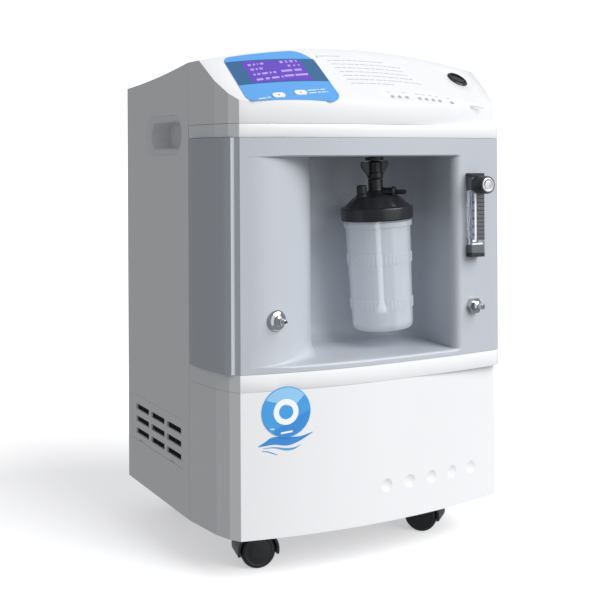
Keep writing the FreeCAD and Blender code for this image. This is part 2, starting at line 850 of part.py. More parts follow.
def make_panel_parts():
    """Display, board, buttons, lamps and rocker switch under the slanted panel."""
    display = doc.addObject("Part::Box", "lcd_block")
    bind(display, Length="lcd_width", Width="lcd_height - 1", Height="lcd_thickness")
    display.Placement = slope_frame(size("lcd_x"), size("lcd_down")).multiply(
        Placement(Vector(-size("lcd_width") / 2, -size("lcd_height") / 2 + 0.5,
                         -5 - size("lcd_thickness")),
                  Rotation()))
    node("lcd_module", display)

    board = doc.addObject("Part::Box", "board_block")
    bind(board, Length="board_width", Width="board_height", Height="board_thickness")
    board.Placement = slope_frame(size("lcd_x") + 8, size("lcd_down") + 7).multiply(
        Placement(Vector(-size("board_width") / 2, -size("board_height") / 2,
                         -5.5 - size("lcd_thickness")
                         - size("board_thickness")), Rotation()))
    node("control_board", board)

    for side in ("left", "right"):
        key = stadium(f"button_{side}", "button_length", "button_width", "button_skirt + button_rise")
        set_frame(key, slope_frame(size(f"button_{side}_x"), size("button_down"),
                                   -size("button_skirt")))
        node(f"menu_button_{side}", key)

    lamps = [panel_cylinder(f"lamp_{index}", "led_radius", "led_height", x, "led_down",
                            0.6 - size("led_height")) for index, x in enumerate(LED_POSITIONS)]
    node("indicator_lamps", compound("lamps", *lamps))

    bezel = revolve("bezel", [
        ("switch_bore_radius", "0 - switch_depth + 3"),
        ("switch_bore_radius", "switch_rim_height"),
        ("switch_outer_radius - 1", "switch_rim_height"),
        ("switch_outer_radius", "switch_rim_height - 1"),
        ("switch_outer_radius", "0.45"),
        ("switch_body_radius", "0.15"),
        ("switch_body_radius", "0 - switch_depth"),
        ("0", "0 - switch_depth"),
        ("0", "0 - switch_depth + 3"),
    ])
    node("switch_bezel", set_frame(bezel, slope_frame(size("switch_x"), size("switch_down"))))

    rocker = doc.addObject("Part::Cylinder", "rocker")
    bind(rocker, Radius="rocker_radius", Height="rocker_height")
    rocker.Placement = slope_frame(size("switch_x"), size("switch_down"), 0,
                                   -size("rocker_tilt")).multiply(
        Placement(Vector(0, 0, 1.6 - size("rocker_height")), Rotation()))
    node("power_rocker", rocker)


# ---------------------------------------------------------------- rear case


def case_loft(name, side, inset, front, back):
    """The rear case as a solid: three crowned sections, lower towards the back."""
    sections = [
        arch_section(f"{name}_front", side, front, "0", inset),
        arch_section(f"{name}_middle", side, "mid_fall_depth", "mid_fall", inset),
        arch_section(f"{name}_back", side, back, "back_fall", inset),
    ]
    item = doc.addObject("Part::Loft", name)
    item.Sections = sections
    item.Solid = True
    item.Ruled = False
    return item


def rounded_plan(name, side, front, back, radius, z, height):
    """A plan with its two back corners rounded, as a prism."""
    corners = [
        (f"0 - {side}", f"edge_y + {front}"),
        (side, f"edge_y + {front}"),
        (side, f"edge_y + {back} - {radius}"),
        (f"{side} - {radius}", f"edge_y + {back}"),
        (f"0 - {side} + {radius}", f"edge_y + {back}"),
        (f"0 - {side}", f"edge_y + {back} - {radius}"),
    ]
    arcs = {
        2: (f"{side} - {radius} * {ARC_INSET}", f"edge_y + {back} - {radius} * {ARC_INSET}"),
        4: (f"0 - {side} + {radius} * {ARC_INSET}", f"edge_y + {back} - {radius} * {ARC_INSET}"),
    }
    return extrude(name, outline(name + "_plan", corners, arcs, z), height)


def make_rear_shell():
    """White rear case with openings for the handles, the intake, the exhaust and the inlet."""
    outside = common(
        "rear_outside",
        case_loft("rear_loft", "half_width", "0", "seam_depth + seam_gap", "case_depth"),
        rounded_plan("rear_prism", "half_width", "seam_depth + seam_gap", "case_depth",
                     "back_corner_radius",
                     "case_bottom", "case_top"))
    inside = common(
        "rear_inside",
        case_loft("rear_hollow", "(half_width - wall)", "wall", "seam_depth + seam_gap", "case_depth"),
        rounded_plan("rear_core", "(half_width - wall)", "seam_depth + seam_gap", "(case_depth - wall)",
                     "(back_corner_radius - wall)", "case_bottom", "case_top"))
    openings = []
    for side, turn in (("left", FACE_LEFT), ("right", FACE_RIGHT)):
        hole = stadium(f"handle_hole_{side}", "(handle_rim_length + 0.4)", "(handle_rim_height + 0.4)",
                       "reach")
        sign = "0 - " if side == "left" else ""
        openings.append(place(hole, f"{sign}(half_width - reach / 2)", "edge_y + handle_depth",
                              "handle_height",
                              turn.multiply(Rotation(Vector(0, 0, 1), 90))))
    openings.append(box("intake_opening", "0 - half_width - wall", "edge_y + filter_front_depth",
                        "filter_bottom", "wall * 3", "filter_back_depth - filter_front_depth",
                        "filter_top - filter_bottom"))
    openings.append(box("exhaust_opening", "0 - grille_half_width + 6",
                        "edge_y + case_depth - reach / 2",
                        "grille_bottom + 6", "grille_half_width * 2 - 12", "reach",
                        "grille_height - 12"))
    openings.append(box("inlet_opening", "inlet_x - inlet_body_width / 2 - 0.3",
                        "edge_y + case_depth - reach / 2", "inlet_height - inlet_body_height / 2 - 0.3",
                        "inlet_body_width + 0.6", "reach", "inlet_body_height + 0.6"))
    for index, (x, z) in enumerate(SCREW_SPOTS):
        openings.append(cylinder(f"screw_hole_{index}", "screw_shank_radius + 0.2", "reach", x,
                                 "edge_y + case_depth - reach / 2", z, FACE_BACK))
    node("rear_shell", cut("rear_body", outside, inside, *openings))


SCREW_SPOTS = [(f"{sign}168", height) for sign in ("0 - ", "") for height in ("71", "291", "511")]


def make_handles():
    """Pocket handles let into both sides of the rear case."""
    cups = []
    for side, turn, sign in (("left", FACE_LEFT, "0 - "), ("right", FACE_RIGHT, "")):
        upright = turn.multiply(Rotation(Vector(0, 0, 1), 90))
        rim = stadium(f"handle_rim_{side}", "handle_rim_length", "handle_rim_height",
                      "handle_rim_thickness")
        place(rim, f"{sign}(half_width - handle_rim_thickness)", "edge_y + handle_depth",
              "handle_height",
              upright)
        cup = stadium(f"handle_back_{side}", "(handle_mouth_length + 4)", "(handle_mouth_height + 4)",
                      "handle_pocket_depth - handle_rim_thickness + 2.5")
        place(cup, f"{sign}(half_width - handle_pocket_depth - 2)", "edge_y + handle_depth",
              "handle_height",
              upright)
        mouth = stadium(f"handle_mouth_{side}", "handle_mouth_length", "handle_mouth_height",
                        "handle_pocket_depth + wall")
        place(mouth, f"{sign}(half_width - handle_pocket_depth)", "edge_y + handle_depth",
              "handle_height",
              upright)
        flare = doc.addObject("Part::Loft", f"handle_flare_{side}")
        flare.Sections = [
            place_outline(f"handle_flare_in_{side}", "handle_mouth_length", "handle_mouth_height",
                          f"{sign}(half_width - handle_rim_thickness + 1)", upright),
            place_outline(f"handle_flare_out_{side}", "(handle_rim_length - 1.6)",
                          "(handle_rim_height - 1.6)",
                          f"{sign}(half_width + 0.4)", upright),
        ]
        flare.Solid = True
        flare.Ruled = True
        cups.append(cut(f"handle_body_{side}", fuse(f"handle_solid_{side}", rim, cup), mouth, flare))
    node("handle_cups", compound("handle_pair", *cups))


def place_outline(name, length, height, x, rotation):
    """A slot-shaped outline standing on a side of the case."""
    half = f"({length} - {height}) / 2"
    corners = [(f"0 - {half}", f"0 - {height} / 2"), (half, f"0 - {height} / 2"),
               (half, f"{height} / 2"), (f"0 - {half}", f"{height} / 2")]
    arcs = {1: (f"{half} + {height} / 2", "0"), 3: (f"0 - {half} - {height} / 2", "0")}
    return outline(name, corners, arcs, "handle_height", rotation, x, "edge_y + handle_depth")


def make_intake():
    """Slotted intake door, the foam behind it and the tray that holds the foam."""
    length = "filter_back_depth - filter_front_depth"
    height = "filter_top - filter_bottom"
    door = box("door_plate", "0 - half_width", "edge_y + filter_front_depth + 0.3",
               "filter_bottom + 0.3",
               "door_thickness", f"{length} - 0.6", f"{height} - 0.6")
    slots = []
    for column in range(3):
        for row_index in range(3):
            slots.append(box(f"door_slot_{column}_{row_index}", "0 - half_width - 1",
                             f"edge_y + slot_start_depth + {column} * slot_column_pitch",
                             f"slot_bottom + {row_index} * slot_pitch", "door_thickness + 2",
                             "slot_length",
                             "slot_height"))
    for index, offset in enumerate(("filter_front_depth + clip_inset",
                                    "filter_back_depth - clip_inset - clip_width")):
        slots.append(box(f"clip_notch_{index}", "0 - half_width - 1", f"edge_y + {offset}",
                         "filter_bottom", "2.4", "clip_width", "clip_height"))
    node("filter_door", cut("door_body", door, *slots))

    foam = box("foam_block", "0 - half_width + door_thickness + 0.5",
               "edge_y + filter_front_depth + 2.4",
               "filter_bottom + 2.4", "foam_thickness", f"{length} - 4.8", f"{height} - 4.8")
    node("intake_foam", foam)

    tray = box("tray_block", "0 - half_width + wall + 0.2", "edge_y + filter_front_depth - 4",
               "filter_bottom - 4", "foam_thickness + 3", f"{length} + 8", f"{height} + 8")
    room = box("tray_room", "0 - half_width", "edge_y + filter_front_depth + 2", "filter_bottom + 2",
               "foam_thickness + door_thickness + 1", f"{length} - 4", f"{height} - 4")
    back = box("tray_back", "0 - half_width", "edge_y + filter_front_depth + 8", "filter_bottom + 8",
               "reach", f"{length} - 16", f"{height} - 16")
    node("filter_tray", cut("tray_body", tray, room, back))


def make_rear_fittings():
    """Exhaust grille, power inlet and the screws that close the rear case."""
    plate = box("grille_plate", "0 - grille_half_width", "edge_y + case_depth + 0.1", "grille_bottom",
                "grille_half_width * 2", "grille_thickness", "grille_height")
    slots = [box(f"grille_slot_{index}", "10 - grille_half_width", "edge_y + case_depth - 1",
                 f"grille_bottom + 9 + {index} * grille_slot_pitch", "grille_half_width * 2 - 20",
                 "grille_thickness + 3", "grille_slot_height") for index in range(6)]
    node("exhaust_grille", cut("grille_body", plate, *slots))

    flange = box("inlet_flange", "inlet_x - inlet_flange_width / 2", "edge_y + case_depth + 0.1",
                 "inlet_height - inlet_flange_height / 2", "inlet_flange_width",
                 "inlet_flange_thickness",
                 "inlet_flange_height")
    body = box("inlet_body", "inlet_x - inlet_body_width / 2", "edge_y + case_depth - inlet_depth",
               "inlet_height - inlet_body_height / 2", "inlet_body_width", "inlet_depth + 0.5",
               "inlet_body_height")
    socket = box("inlet_socket", "inlet_x - inlet_socket_width / 2",
                 "edge_y + case_depth - inlet_depth + 3",
                 "inlet_height - inlet_socket_height / 2", "inlet_socket_width", "inlet_depth + 3",
                 "inlet_socket_height")
    blade_shift = ("0 - 7", "0", "7")
    blades = [box(f"inlet_blade_{index}", f"inlet_x + {shift} - 1",
                  "edge_y + case_depth - inlet_depth + 3.1",
                  f"inlet_height + {rise} - 2", "2", "inlet_depth - 6", "4")
              for index, (shift, rise) in enumerate(zip(blade_shift, ("0", "3", "0")))]
    holder = cut("inlet_solid", fuse("inlet_block", flange, body), socket)
    node("power_inlet", compound("inlet_with_blades", holder, *blades))

    screws = []
    for index, (x, z) in enumerate(SCREW_SPOTS):
        head = cylinder(f"screw_head_{index}", "screw_head_radius", "screw_head_height", x,
                        "edge_y + case_depth + 0.1", z, FACE_BACK)
        shank = cylinder(f"screw_shank_{index}", "screw_shank_radius", "screw_length", x,
                         "edge_y + case_depth + 0.3 - screw_length", z, FACE_BACK)
        screws.append(fuse(f"screw_{index}", head, shank))
    node("case_screws", compound("screws", *screws))


# ---------------------------------------------------------------- humidifier


def make_humidifier():
    """Bubble humidifier: lid, jar, gasket, dip tube, diffuser, relief valve and its wing nut."""
    frame = bottle_frame()
    cone = revolve("lid_cone", [
        ("lid_bore_radius", "lid_bottom"),
        ("lid_radius", "lid_bottom"),
        ("lid_radius", "lid_rim_top - 1"),
        ("lid_radius - 1", "lid_rim_top"),
        ("lid_shoulder_radius", "lid_rim_top"),
        ("lid_cone_radius", "lid_cone_top"),
        ("neck_radius + 4", "neck_base - 2"),
        ("neck_radius", "neck_base + 2"),
        ("neck_radius", "neck_top"),
        ("tube_bore_radius", "neck_top"),
        ("tube_bore_radius", "lid_cone_top - 2"),
        ("lid_cone_radius - 3", "lid_cone_top - 4"),
        ("lid_shoulder_radius - 3.5", "lid_seat"),
        ("lid_bore_radius", "lid_seat"),
    ])
    boss = cylinder("relief_boss", "relief_boss_radius", "relief_boss_top - lid_rim_top + 1",
                    "relief_x", "0",
                    "lid_rim_top - 1")
    arm = cylinder("outlet_arm", "outlet_boss_radius", "outlet_boss_end - neck_radius + 3",
                   "neck_radius - 3",
                   "0", "outlet_height", FACE_RIGHT)
    tip = cylinder("outlet_tip", "outlet_tip_radius", "outlet_tip_end - outlet_boss_end + 2",
                   "outlet_boss_end - 2", "0", "outlet_height", FACE_RIGHT)
    spout = set_frame(fuse("outlet_spout", arm, tip),
                      Placement(Vector(), Rotation(Vector(0, 0, 1), -size("outlet_swing"))))
    bore = cylinder("neck_bore", "tube_bore_radius", "reach", "0", "0", "lid_cone_top - 2")
    hollow = revolve("lid_hollow", [
        ("0", "lid_cone_top - 4"), ("lid_cone_radius - 3", "lid_cone_top - 4"),
        ("lid_shoulder_radius - 3.5", "lid_seat"), ("0", "lid_seat")])
    lid = cut("lid_body", fuse("lid_block", cone, boss, spout), bore, hollow)
    node("humidifier_lid", set_frame(lid, frame))

    jar = revolve("jar", jar_profile())
    node("humidifier_jar", set_frame(jar, frame))

    gasket = revolve("gasket", [
        ("gasket_inner_radius", "jar_neck_top + 0.2"), ("jar_neck_radius", "jar_neck_top + 0.2"),
        ("jar_neck_radius", "lid_seat - 0.2"), ("gasket_inner_radius", "lid_seat - 0.2")])
    node("lid_gasket", set_frame(gasket, frame))

    relief = revolve("relief", [
        ("0", "relief_boss_top + 0.1"), ("relief_radius", "relief_boss_top + 0.1"),
        ("relief_radius", "relief_top - 2"), ("relief_radius - 2", "relief_top"), ("0", "relief_top")])
    node("relief_valve", set_frame(relief, frame.multiply(
        Placement(Vector(size("relief_x"), 0, 0), Rotation()))))

    tube = revolve("tube", [
        ("tube_inner_radius", "tube_bottom"), ("tube_radius", "tube_bottom"),
        ("tube_radius", "tube_top"), ("tube_inner_radius", "tube_top")])

    diffuser = revolve("diffuser", [
        ("0", "tube_bottom - diffuser_height - 0.1"),
        ("diffuser_radius - 1", "tube_bottom - diffuser_height - 0.1"),
        ("diffuser_radius", "tube_bottom - diffuser_height + 0.9"),
        ("diffuser_radius", "tube_bottom - 1.5"), ("diffuser_radius - 1.5", "tube_bottom - 0.1"),
        ("0", "tube_bottom - 0.1")])
    node("dip_tube", set_frame(compound("tube_and_diffuser", tube, diffuser), frame))

    core = revolve("nut_core", [
        ("nipple_radius + 0.1", "nut_bottom"), ("nut_radius", "nut_bottom"),
        ("nut_radius", "wing_bottom"), ("nut_top_radius", "nut_top"), ("nipple_radius + 0.1",
                                                                       "nut_top")])
    wings = pad("nut_wings", [
        ("0 - nut_radius", "wing_bottom"), ("nut_radius", "wing_bottom"),
        ("wing_span / 2 - 1", "nut_top - 5"), ("wing_span / 2 - 2", "nut_top"),
        ("nut_top_radius - 1", "nut_top - 3"), ("1 - nut_top_radius", "nut_top - 3"),
        ("2 - wing_span / 2", "nut_top"), ("1 - wing_span / 2", "nut_top - 5")],
        "wing_thickness", None, "XZ_Plane")
    place(wings, "0", "wing_thickness / 2", "0")
    clear = cylinder("nut_bore", "nipple_radius + 0.1", "reach", "0", "0", "nut_bottom - 1")
    node("wing_nut", set_frame(cut("nut_body", fuse("nut_block", core, wings), clear), frame))

    port = revolve("port", [
        ("0", "nipple_bottom"), ("nipple_radius", "nipple_bottom"),
        ("nipple_radius", "port_flange_bottom"), ("port_flange_radius", "port_flange_bottom"),
        ("port_flange_radius", "port_flange_top"), ("port_shank_radius", "port_flange_top"),
        ("port_shank_radius", "port_shank_top"), ("0", "port_shank_top")])
    node("humidifier_port", set_frame(port, frame))


def jar_profile():
    """Section of the jar: flange, threaded neck, tapered wall with two bands, and a ring foot."""
    def wall_at(height):
        share = f"(({height}) - jar_bottom) / (jar_flange_bottom - jar_bottom)"
        return f"jar_bottom_radius + (jar_top_radius - jar_bottom_radius) * {share}"

    outer = [
        ("0", "jar_bottom + 1.6"),
        ("jar_bottom_radius - 8", "jar_bottom + 1.6"),
        ("jar_bottom_radius - 7", "jar_bottom"),
        ("jar_bottom_radius - 3", "jar_bottom"),
        ("jar_bottom_radius", "jar_bottom + 3"),
    ]
    for low, high in (("lower_band_bottom", "lower_band_top"), ("upper_band_bottom", "upper_band_top")):
        outer += [
            (wall_at(low), low),
            (wall_at(low) + " + jar_band", f"{low} + 1"),
            (wall_at(high) + " + jar_band", f"{high} - 1"),
            (wall_at(high), high),
        ]
    outer += [
        ("jar_top_radius", "jar_flange_bottom"),
        ("jar_flange_radius", "jar_flange_bottom"),
        ("jar_flange_radius", "jar_flange_top"),
        ("jar_neck_radius", "jar_flange_top"),
        ("jar_neck_radius", "jar_neck_top"),
        ("jar_neck_radius - jar_wall", "jar_neck_top"),
        ("jar_neck_radius - jar_wall", "jar_flange_bottom"),
        ("jar_bottom_radius - jar_wall", "jar_bottom + 5"),
        ("jar_bottom_radius - jar_wall - 2", "jar_bottom + 1.6 + jar_wall"),
        ("0", "jar_bottom + 1.6 + jar_wall"),
    ]
    return outer


# ---------------------------------------------------------------- flowmeter and outlets


def make_flowmeter():
    """Clear flowmeter block with its float, end caps, rear studs and needle-valve knob."""
    width = "flow_half_width * 2"
    thickness = "flow_front_bow - flow_back_bow"
    middle = "edge_y - (flow_front_bow + flow_back_bow) / 2"
    left = "flow_x - flow_half_width"
    front = "edge_y - flow_front_bow"
    block = box("flow_block", left, front, "flow_bottom + flow_cap_height", width, thickness,
                "flow_top - flow_bottom - 2 * flow_cap_height")
    tube = cylinder("flow_tube", "flow_bore_radius", "flow_bore_top - flow_seat", "flow_x", middle,
                    "flow_seat")
    inlet = cylinder("flow_inlet", "flow_inlet_radius", "flow_seat - flow_bottom", "flow_x", middle,
                     "flow_bottom")
    stem_hole = cylinder("stem_hole", "stem_radius + stem_clearance",
                         "flow_front_bow - flow_back_bow - 2",
                         "flow_x", "edge_y - flow_back_bow - 2", "knob_height", FACE_FORWARD)
    node("flowmeter_block", cut("flow_body", block, tube, inlet, stem_hole))

    caps = [box(f"flow_cap_{index}", left, front, height, width, thickness, "flow_cap_height - 0.1")
            for index, height in enumerate(("flow_bottom", "flow_top - flow_cap_height + 0.1"))]

    studs = [cylinder(f"flow_stud_{index}", "port_stud_radius", "port_stud_length", "flow_x",
                      "edge_y - flow_back_bow + 0.1", height, FACE_BACK)
             for index, height in enumerate(("port_stud_lower", "port_stud_upper"))]
    node("flowmeter_fittings", compound("flow_fittings", *caps, *studs))

    float_ball = doc.addObject("Part::Sphere", "float_ball")
    bind(float_ball, Radius="float_radius")
    node("flow_float", place(float_ball, "flow_x", middle, "flow_seat + float_radius + 0.1"))

    stem = cylinder("valve_stem", "stem_radius", "knob_gap + 6", "0", "0", "0 - knob_gap - 6")
    knob = revolve("knob", [
        ("0", "0"), ("knob_radius - 0.8", "0"), ("knob_radius", "0.8"),
        ("knob_radius", "knob_length - 0.8"), ("knob_radius - 0.8", "knob_length"),
        ("cap_radius + 0.1", "knob_length"), ("cap_radius + 0.1", "knob_length - cap_recess"),
        ("0", "knob_length - cap_recess")])
    frame = Placement(Vector(size("flow_x"), value("edge_y - flow_front_bow - knob_gap"),
                             size("knob_height")),
                      FACE_FORWARD)
    node("flow_knob", set_frame(fuse("knob_body", knob, stem), frame))

    cap = revolve("cap", [
        ("0", "knob_length - cap_recess + 0.05"), ("cap_radius", "knob_length - cap_recess + 0.05"),
        ("cap_radius", "knob_length + cap_rise - 0.6"), ("cap_radius - 0.6", "knob_length + cap_rise"),
        ("0", "knob_length + cap_rise")])
    node("knob_cap", set_frame(cap, frame))


def make_outlets():
    """Oxygen outlet on the left and nebulizer outlet on the right of the recess."""
    outlet = revolve("oxygen_nozzle", [
        ("0", "0 - shank_end"), ("shank_radius", "0 - shank_end"), ("shank_radius", "0.4"),
        ("flange_radius", "0.4"), ("flange_radius", "1.6"), ("flange_radius - 2", "3.2"),
        ("nozzle_radius + 2.6", "4.4"), ("nozzle_radius + 2.6", "7"), ("nozzle_radius", "8.4"),
        ("nozzle_radius", "nozzle_end - 0.8"), ("nozzle_radius - 0.8", "nozzle_end"), ("0",
                                                                                       "nozzle_end")])
    node("oxygen_outlet", set_frame(outlet, front_frame("outlet_x", "outlet_depth", "outlet_level",
                                                        size("outlet_turn"))))

    frame = front_frame("nebulizer_x", "nebulizer_depth", "outlet_level", size("nebulizer_turn"))
    nut = cut("nebulizer_nut_body", hexagon("nebulizer_hex", "nut_flats", "nut_thickness"),
              cylinder("nebulizer_bore", "shank_radius + 0.1", "reach", "0", "0", "0 - 5"))
    lifted = frame.multiply(Placement(Vector(0, 0, 0.5), Rotation()))
    set_frame(nut, lifted)
    fitting = revolve("nebulizer_nozzle", [
        ("0", "0 - shank_end"), ("shank_radius", "0 - shank_end"), ("shank_radius", "6"),
        ("nozzle_radius + 2.4", "6"), ("nozzle_radius + 2.4", "9"), ("nozzle_radius", "10"),
        ("nozzle_radius", "nozzle_end - 0.8"), ("nozzle_radius - 0.8", "nozzle_end"), ("0",
                                                                                       "nozzle_end")])
    node("nebulizer_outlet", compound("nebulizer_set", nut, set_frame(fitting, frame)))


# ---------------------------------------------------------------- casters


def caster_spots():
    """Name, X and depth of each caster's swivel axis."""
    front, rear = size("front_caster_x"), size("rear_caster_x")
    return {
        "front_left": (-front, size("front_caster_depth")),
        "front_right": (front, size("front_caster_depth")),
        "rear_left": (-rear, size("rear_caster_depth")),
        "rear_right": (rear, size("rear_caster_depth")),
    }


def make_casters():
    """Four hooded twin-wheel casters, each turned to its own direction."""
    stems = []
    for name, (x, depth) in caster_spots().items():
        spot = Vector(x, size("edge_y") + depth, 0)
        frame = Placement(spot, Rotation(Vector(0, 0, 1), CASTER_TURNS[name]))
        make_caster(name, frame)
        stem = revolve(f"stem_{name}", [
            ("0", "stem_post_bottom"), ("stem_post_radius", "stem_post_bottom"),
            ("stem_post_radius", "collar_bottom"), ("collar_radius", "collar_bottom"),
            ("collar_radius", "case_bottom - 0.1"), ("0", "case_bottom - 0.1")])
        stems.append(set_frame(stem, Placement(spot, Rotation())))
    node("caster_stems", compound("stems", *stems))


def make_caster(name, frame):
    """One caster in its own frame: the axle lies along X, behind the swivel axis by the trail."""
    trail = "caster_trail"
    axle_z = "wheel_radius"
    dome = cylinder(f"hood_dome_{name}", "hood_radius", "hood_half_width * 2", "0 - hood_half_width",
                    trail,
                    axle_z, FACE_RIGHT)
    room_left = cylinder(f"hood_room_left_{name}", "wheel_radius + hood_gap",
                         "hood_half_width - web_half_width + 1", "0 - hood_half_width - 1", trail,
                         axle_z,
                         FACE_RIGHT)
    room_right = cylinder(f"hood_room_right_{name}", "wheel_radius + hood_gap",
                          "hood_half_width - web_half_width + 1", "web_half_width", trail, axle_z,
                          FACE_RIGHT)
    below = box(f"hood_below_{name}", "0 - reach", "0 - reach * 2", "0 - reach * 2 + hood_lower",
                "reach * 2", "reach * 4", "reach * 2")
    keep = cylinder(f"hood_hub_{name}", "axle_radius + 4", "web_half_width * 2", "0 - web_half_width",
                    trail,
                    axle_z, FACE_RIGHT)
    post = cylinder(f"hood_post_{name}", "stem_post_radius + 4", "hood_top - stem_post_bottom + 6", "0",
                    "0",
                    "stem_post_bottom - 6")
    arch_cut = cut(f"hood_arch_{name}", dome, room_left, room_right, below)
    post_limits = common(f"hood_post_trim_{name}", post,
                         box(f"hood_post_box_{name}", "0 - web_half_width", "0 - reach", "0",
                             "web_half_width * 2", "reach * 2", "hood_top"))
    cap = cylinder(f"hood_cap_{name}", "stem_post_radius + 5", "4", "0", "0", "hood_top - 4")
    bore = cylinder(f"hood_bore_{name}", "stem_post_radius + axle_bore_gap", "reach", "0", "0",
                    "stem_post_bottom - 0.3")
    axle_bore = cylinder(f"hood_axle_bore_{name}", "axle_radius + axle_bore_gap", "reach",
                         "0 - reach / 2",
                         trail, axle_z, FACE_RIGHT)
    hood = cut(f"hood_{name}", fuse(f"hood_block_{name}", arch_cut, keep, post_limits, cap), bore,
               axle_bore)
    axle = cylinder(f"axle_{name}", "axle_radius", "(wheel_inner_offset + wheel_width - 2) * 2",
                    "2 - wheel_inner_offset - wheel_width", trail, axle_z, FACE_RIGHT)
    node(f"caster_hood_{name}", set_frame(compound(f"hood_and_axle_{name}", hood, axle), frame))

    for side, turn, sign in (("inner", FACE_RIGHT, ""), ("outer", FACE_LEFT, "0 - ")):
        wheel = revolve(f"wheel_{name}_{side}", [
            ("axle_radius + axle_bore_gap", "0"),
            ("wheel_radius - 2", "0"), ("wheel_radius", "2"),
            ("wheel_radius", "wheel_width - 4"), ("wheel_radius - 2.5", "wheel_width - 1"),
            ("wheel_radius - 6", "wheel_width"), ("axle_radius + 2", "wheel_width"),
            ("axle_radius + axle_bore_gap", "wheel_width - 1.5")])
        place(wheel, f"{sign}wheel_inner_offset", trail, axle_z, turn)
        wheel_part = compound(f"wheel_part_{name}_{side}", wheel)
        node(f"caster_wheel_{name}_{side}", set_frame(wheel_part, frame))


# ---------------------------------------------------------------- inside the cabinet


def make_chassis():
    """Base plate and middle shelf."""
    base = rounded_plan("base_solid", "(half_width - wall - 2 * base_margin)", "base_front_depth",
                        "(case_depth - wall - base_margin)", "6", "case_bottom", "base_thickness")
    nose_plan = front_plan("base_nose_plan", "case_bottom", "reach")
    nose = common("base_nose",
                  extrude("base_nose_sheet", offset_outline("base_nose_outline", nose_plan,
                                                            "0 - wall - part_gap"),
                          "base_thickness"),
                  box("base_nose_room", "0 - half_width", "edge_y - front_clear", "case_bottom - 1",
                      "half_width * 2", "front_clear + seam_depth", "base_thickness + 2"))
    node("base_plate", fuse("base_body", base, nose))
    shelf = rounded_plan("shelf_solid", "(half_width - wall - base_margin)", "(recess_back_depth + 8)",
                         "(case_depth - wall - base_margin)", "6", "shelf_height", "shelf_thickness")
    vent = cylinder("shelf_vent", "fan_hole_radius", "reach", "0", "edge_y + fan_depth",
                    "shelf_height - reach / 2")
    node("inner_shelf", cut("shelf_body", shelf, vent))


def make_compressor():
    """Twin-head oil-free compressor on rubber mounts."""
    motor = cylinder("motor", "motor_radius", "motor_half_length * 2", "0 - motor_half_length",
                     "edge_y + motor_depth", "motor_height", FACE_RIGHT)
    node("compressor_motor", motor)
    heads = []
    for index, left in enumerate(("0 - motor_half_length - head_length - 0.2",
                                  "motor_half_length + 0.2")):
        heads.append(box(f"head_{index}", left, "edge_y + motor_depth - head_width / 2",
                         "motor_height - head_height / 2", "head_length", "head_width", "head_height"))
    node("compressor_heads", compound("heads", *heads))
    mounts = []
    for index, (x_sign, y_sign) in enumerate((("0 - ", "- "), ("0 - ", "+ "), ("", "- "), ("", "+ "))):
        mounts.append(cylinder(f"mount_{index}", "mount_radius",
                               "motor_height - head_height / 2 - case_bottom - base_thickness - 0.2",
                               f"{x_sign}mount_spread_x",
                               f"edge_y + motor_depth {y_sign}mount_spread_y",
                               "case_bottom + base_thickness + 0.1"))
    node("compressor_mounts", compound("mounts", *mounts))


def make_fan():
    """Cooling fan hung under the shelf, blowing down over the compressor."""
    low = "shelf_height - fan_thickness - 0.2"
    frame_block = box("fan_block", "0 - fan_size / 2", "edge_y + fan_depth - fan_size / 2", low,
                      "fan_size",
                      "fan_size", "fan_thickness")
    duct = cylinder("fan_duct", "fan_hole_radius", "reach * 2", "0", "edge_y + fan_depth",
                    f"{low} - reach")
    arms = [box(f"fan_arm_{index}", x, y, low, length, width, "2.5") for index, (x, y, length, width) in
            enumerate((("0 - fan_size / 2 + 1", "edge_y + fan_depth - 2", "fan_size - 2", "4"),
                       ("0 - 2", "edge_y + fan_depth - fan_size / 2 + 1", "4", "fan_size - 2")))]
    motor_seat = cylinder("fan_seat", "fan_hub_radius", "3.5", "0", "edge_y + fan_depth", low)
    pin = cylinder("fan_pin", "fan_pin_radius", "fan_thickness - 5", "0", "edge_y + fan_depth",
                   f"{low} + 1")
    node("fan_frame", fuse("fan_frame_body", cut("fan_ring", frame_block, duct), *arms, motor_seat,
                           pin))

    hub = cylinder("fan_hub", "fan_hub_radius", "fan_thickness - 8", "0", "0", "0")
    blades = []
    for index in range(int(size("fan_blade_count"))):
        blade = pad(f"fan_blade_{index}", [
            ("fan_hub_radius - 2", "2"), ("fan_blade_radius", "0 - 1"), ("fan_blade_radius", "1"),
            ("fan_hub_radius - 2", "4")], "fan_thickness - 12")
        spin = Rotation(Vector(0, 0, 1), index * 360.0 / size("fan_blade_count"))
        blade.Placement = Placement(Vector(0, 0, 2), spin)
        blades.append(blade)
    pin_bore = cylinder("fan_pin_bore", "fan_pin_radius + axle_bore_gap", "reach", "0", "0", "0 - 1")
    rotor = cut("fan_rotor_body", fuse("fan_rotor_block", hub, *blades), pin_bore)
    place(rotor, "0", "edge_y + fan_depth", f"{low} + 4.5")
    node("fan_rotor", rotor)


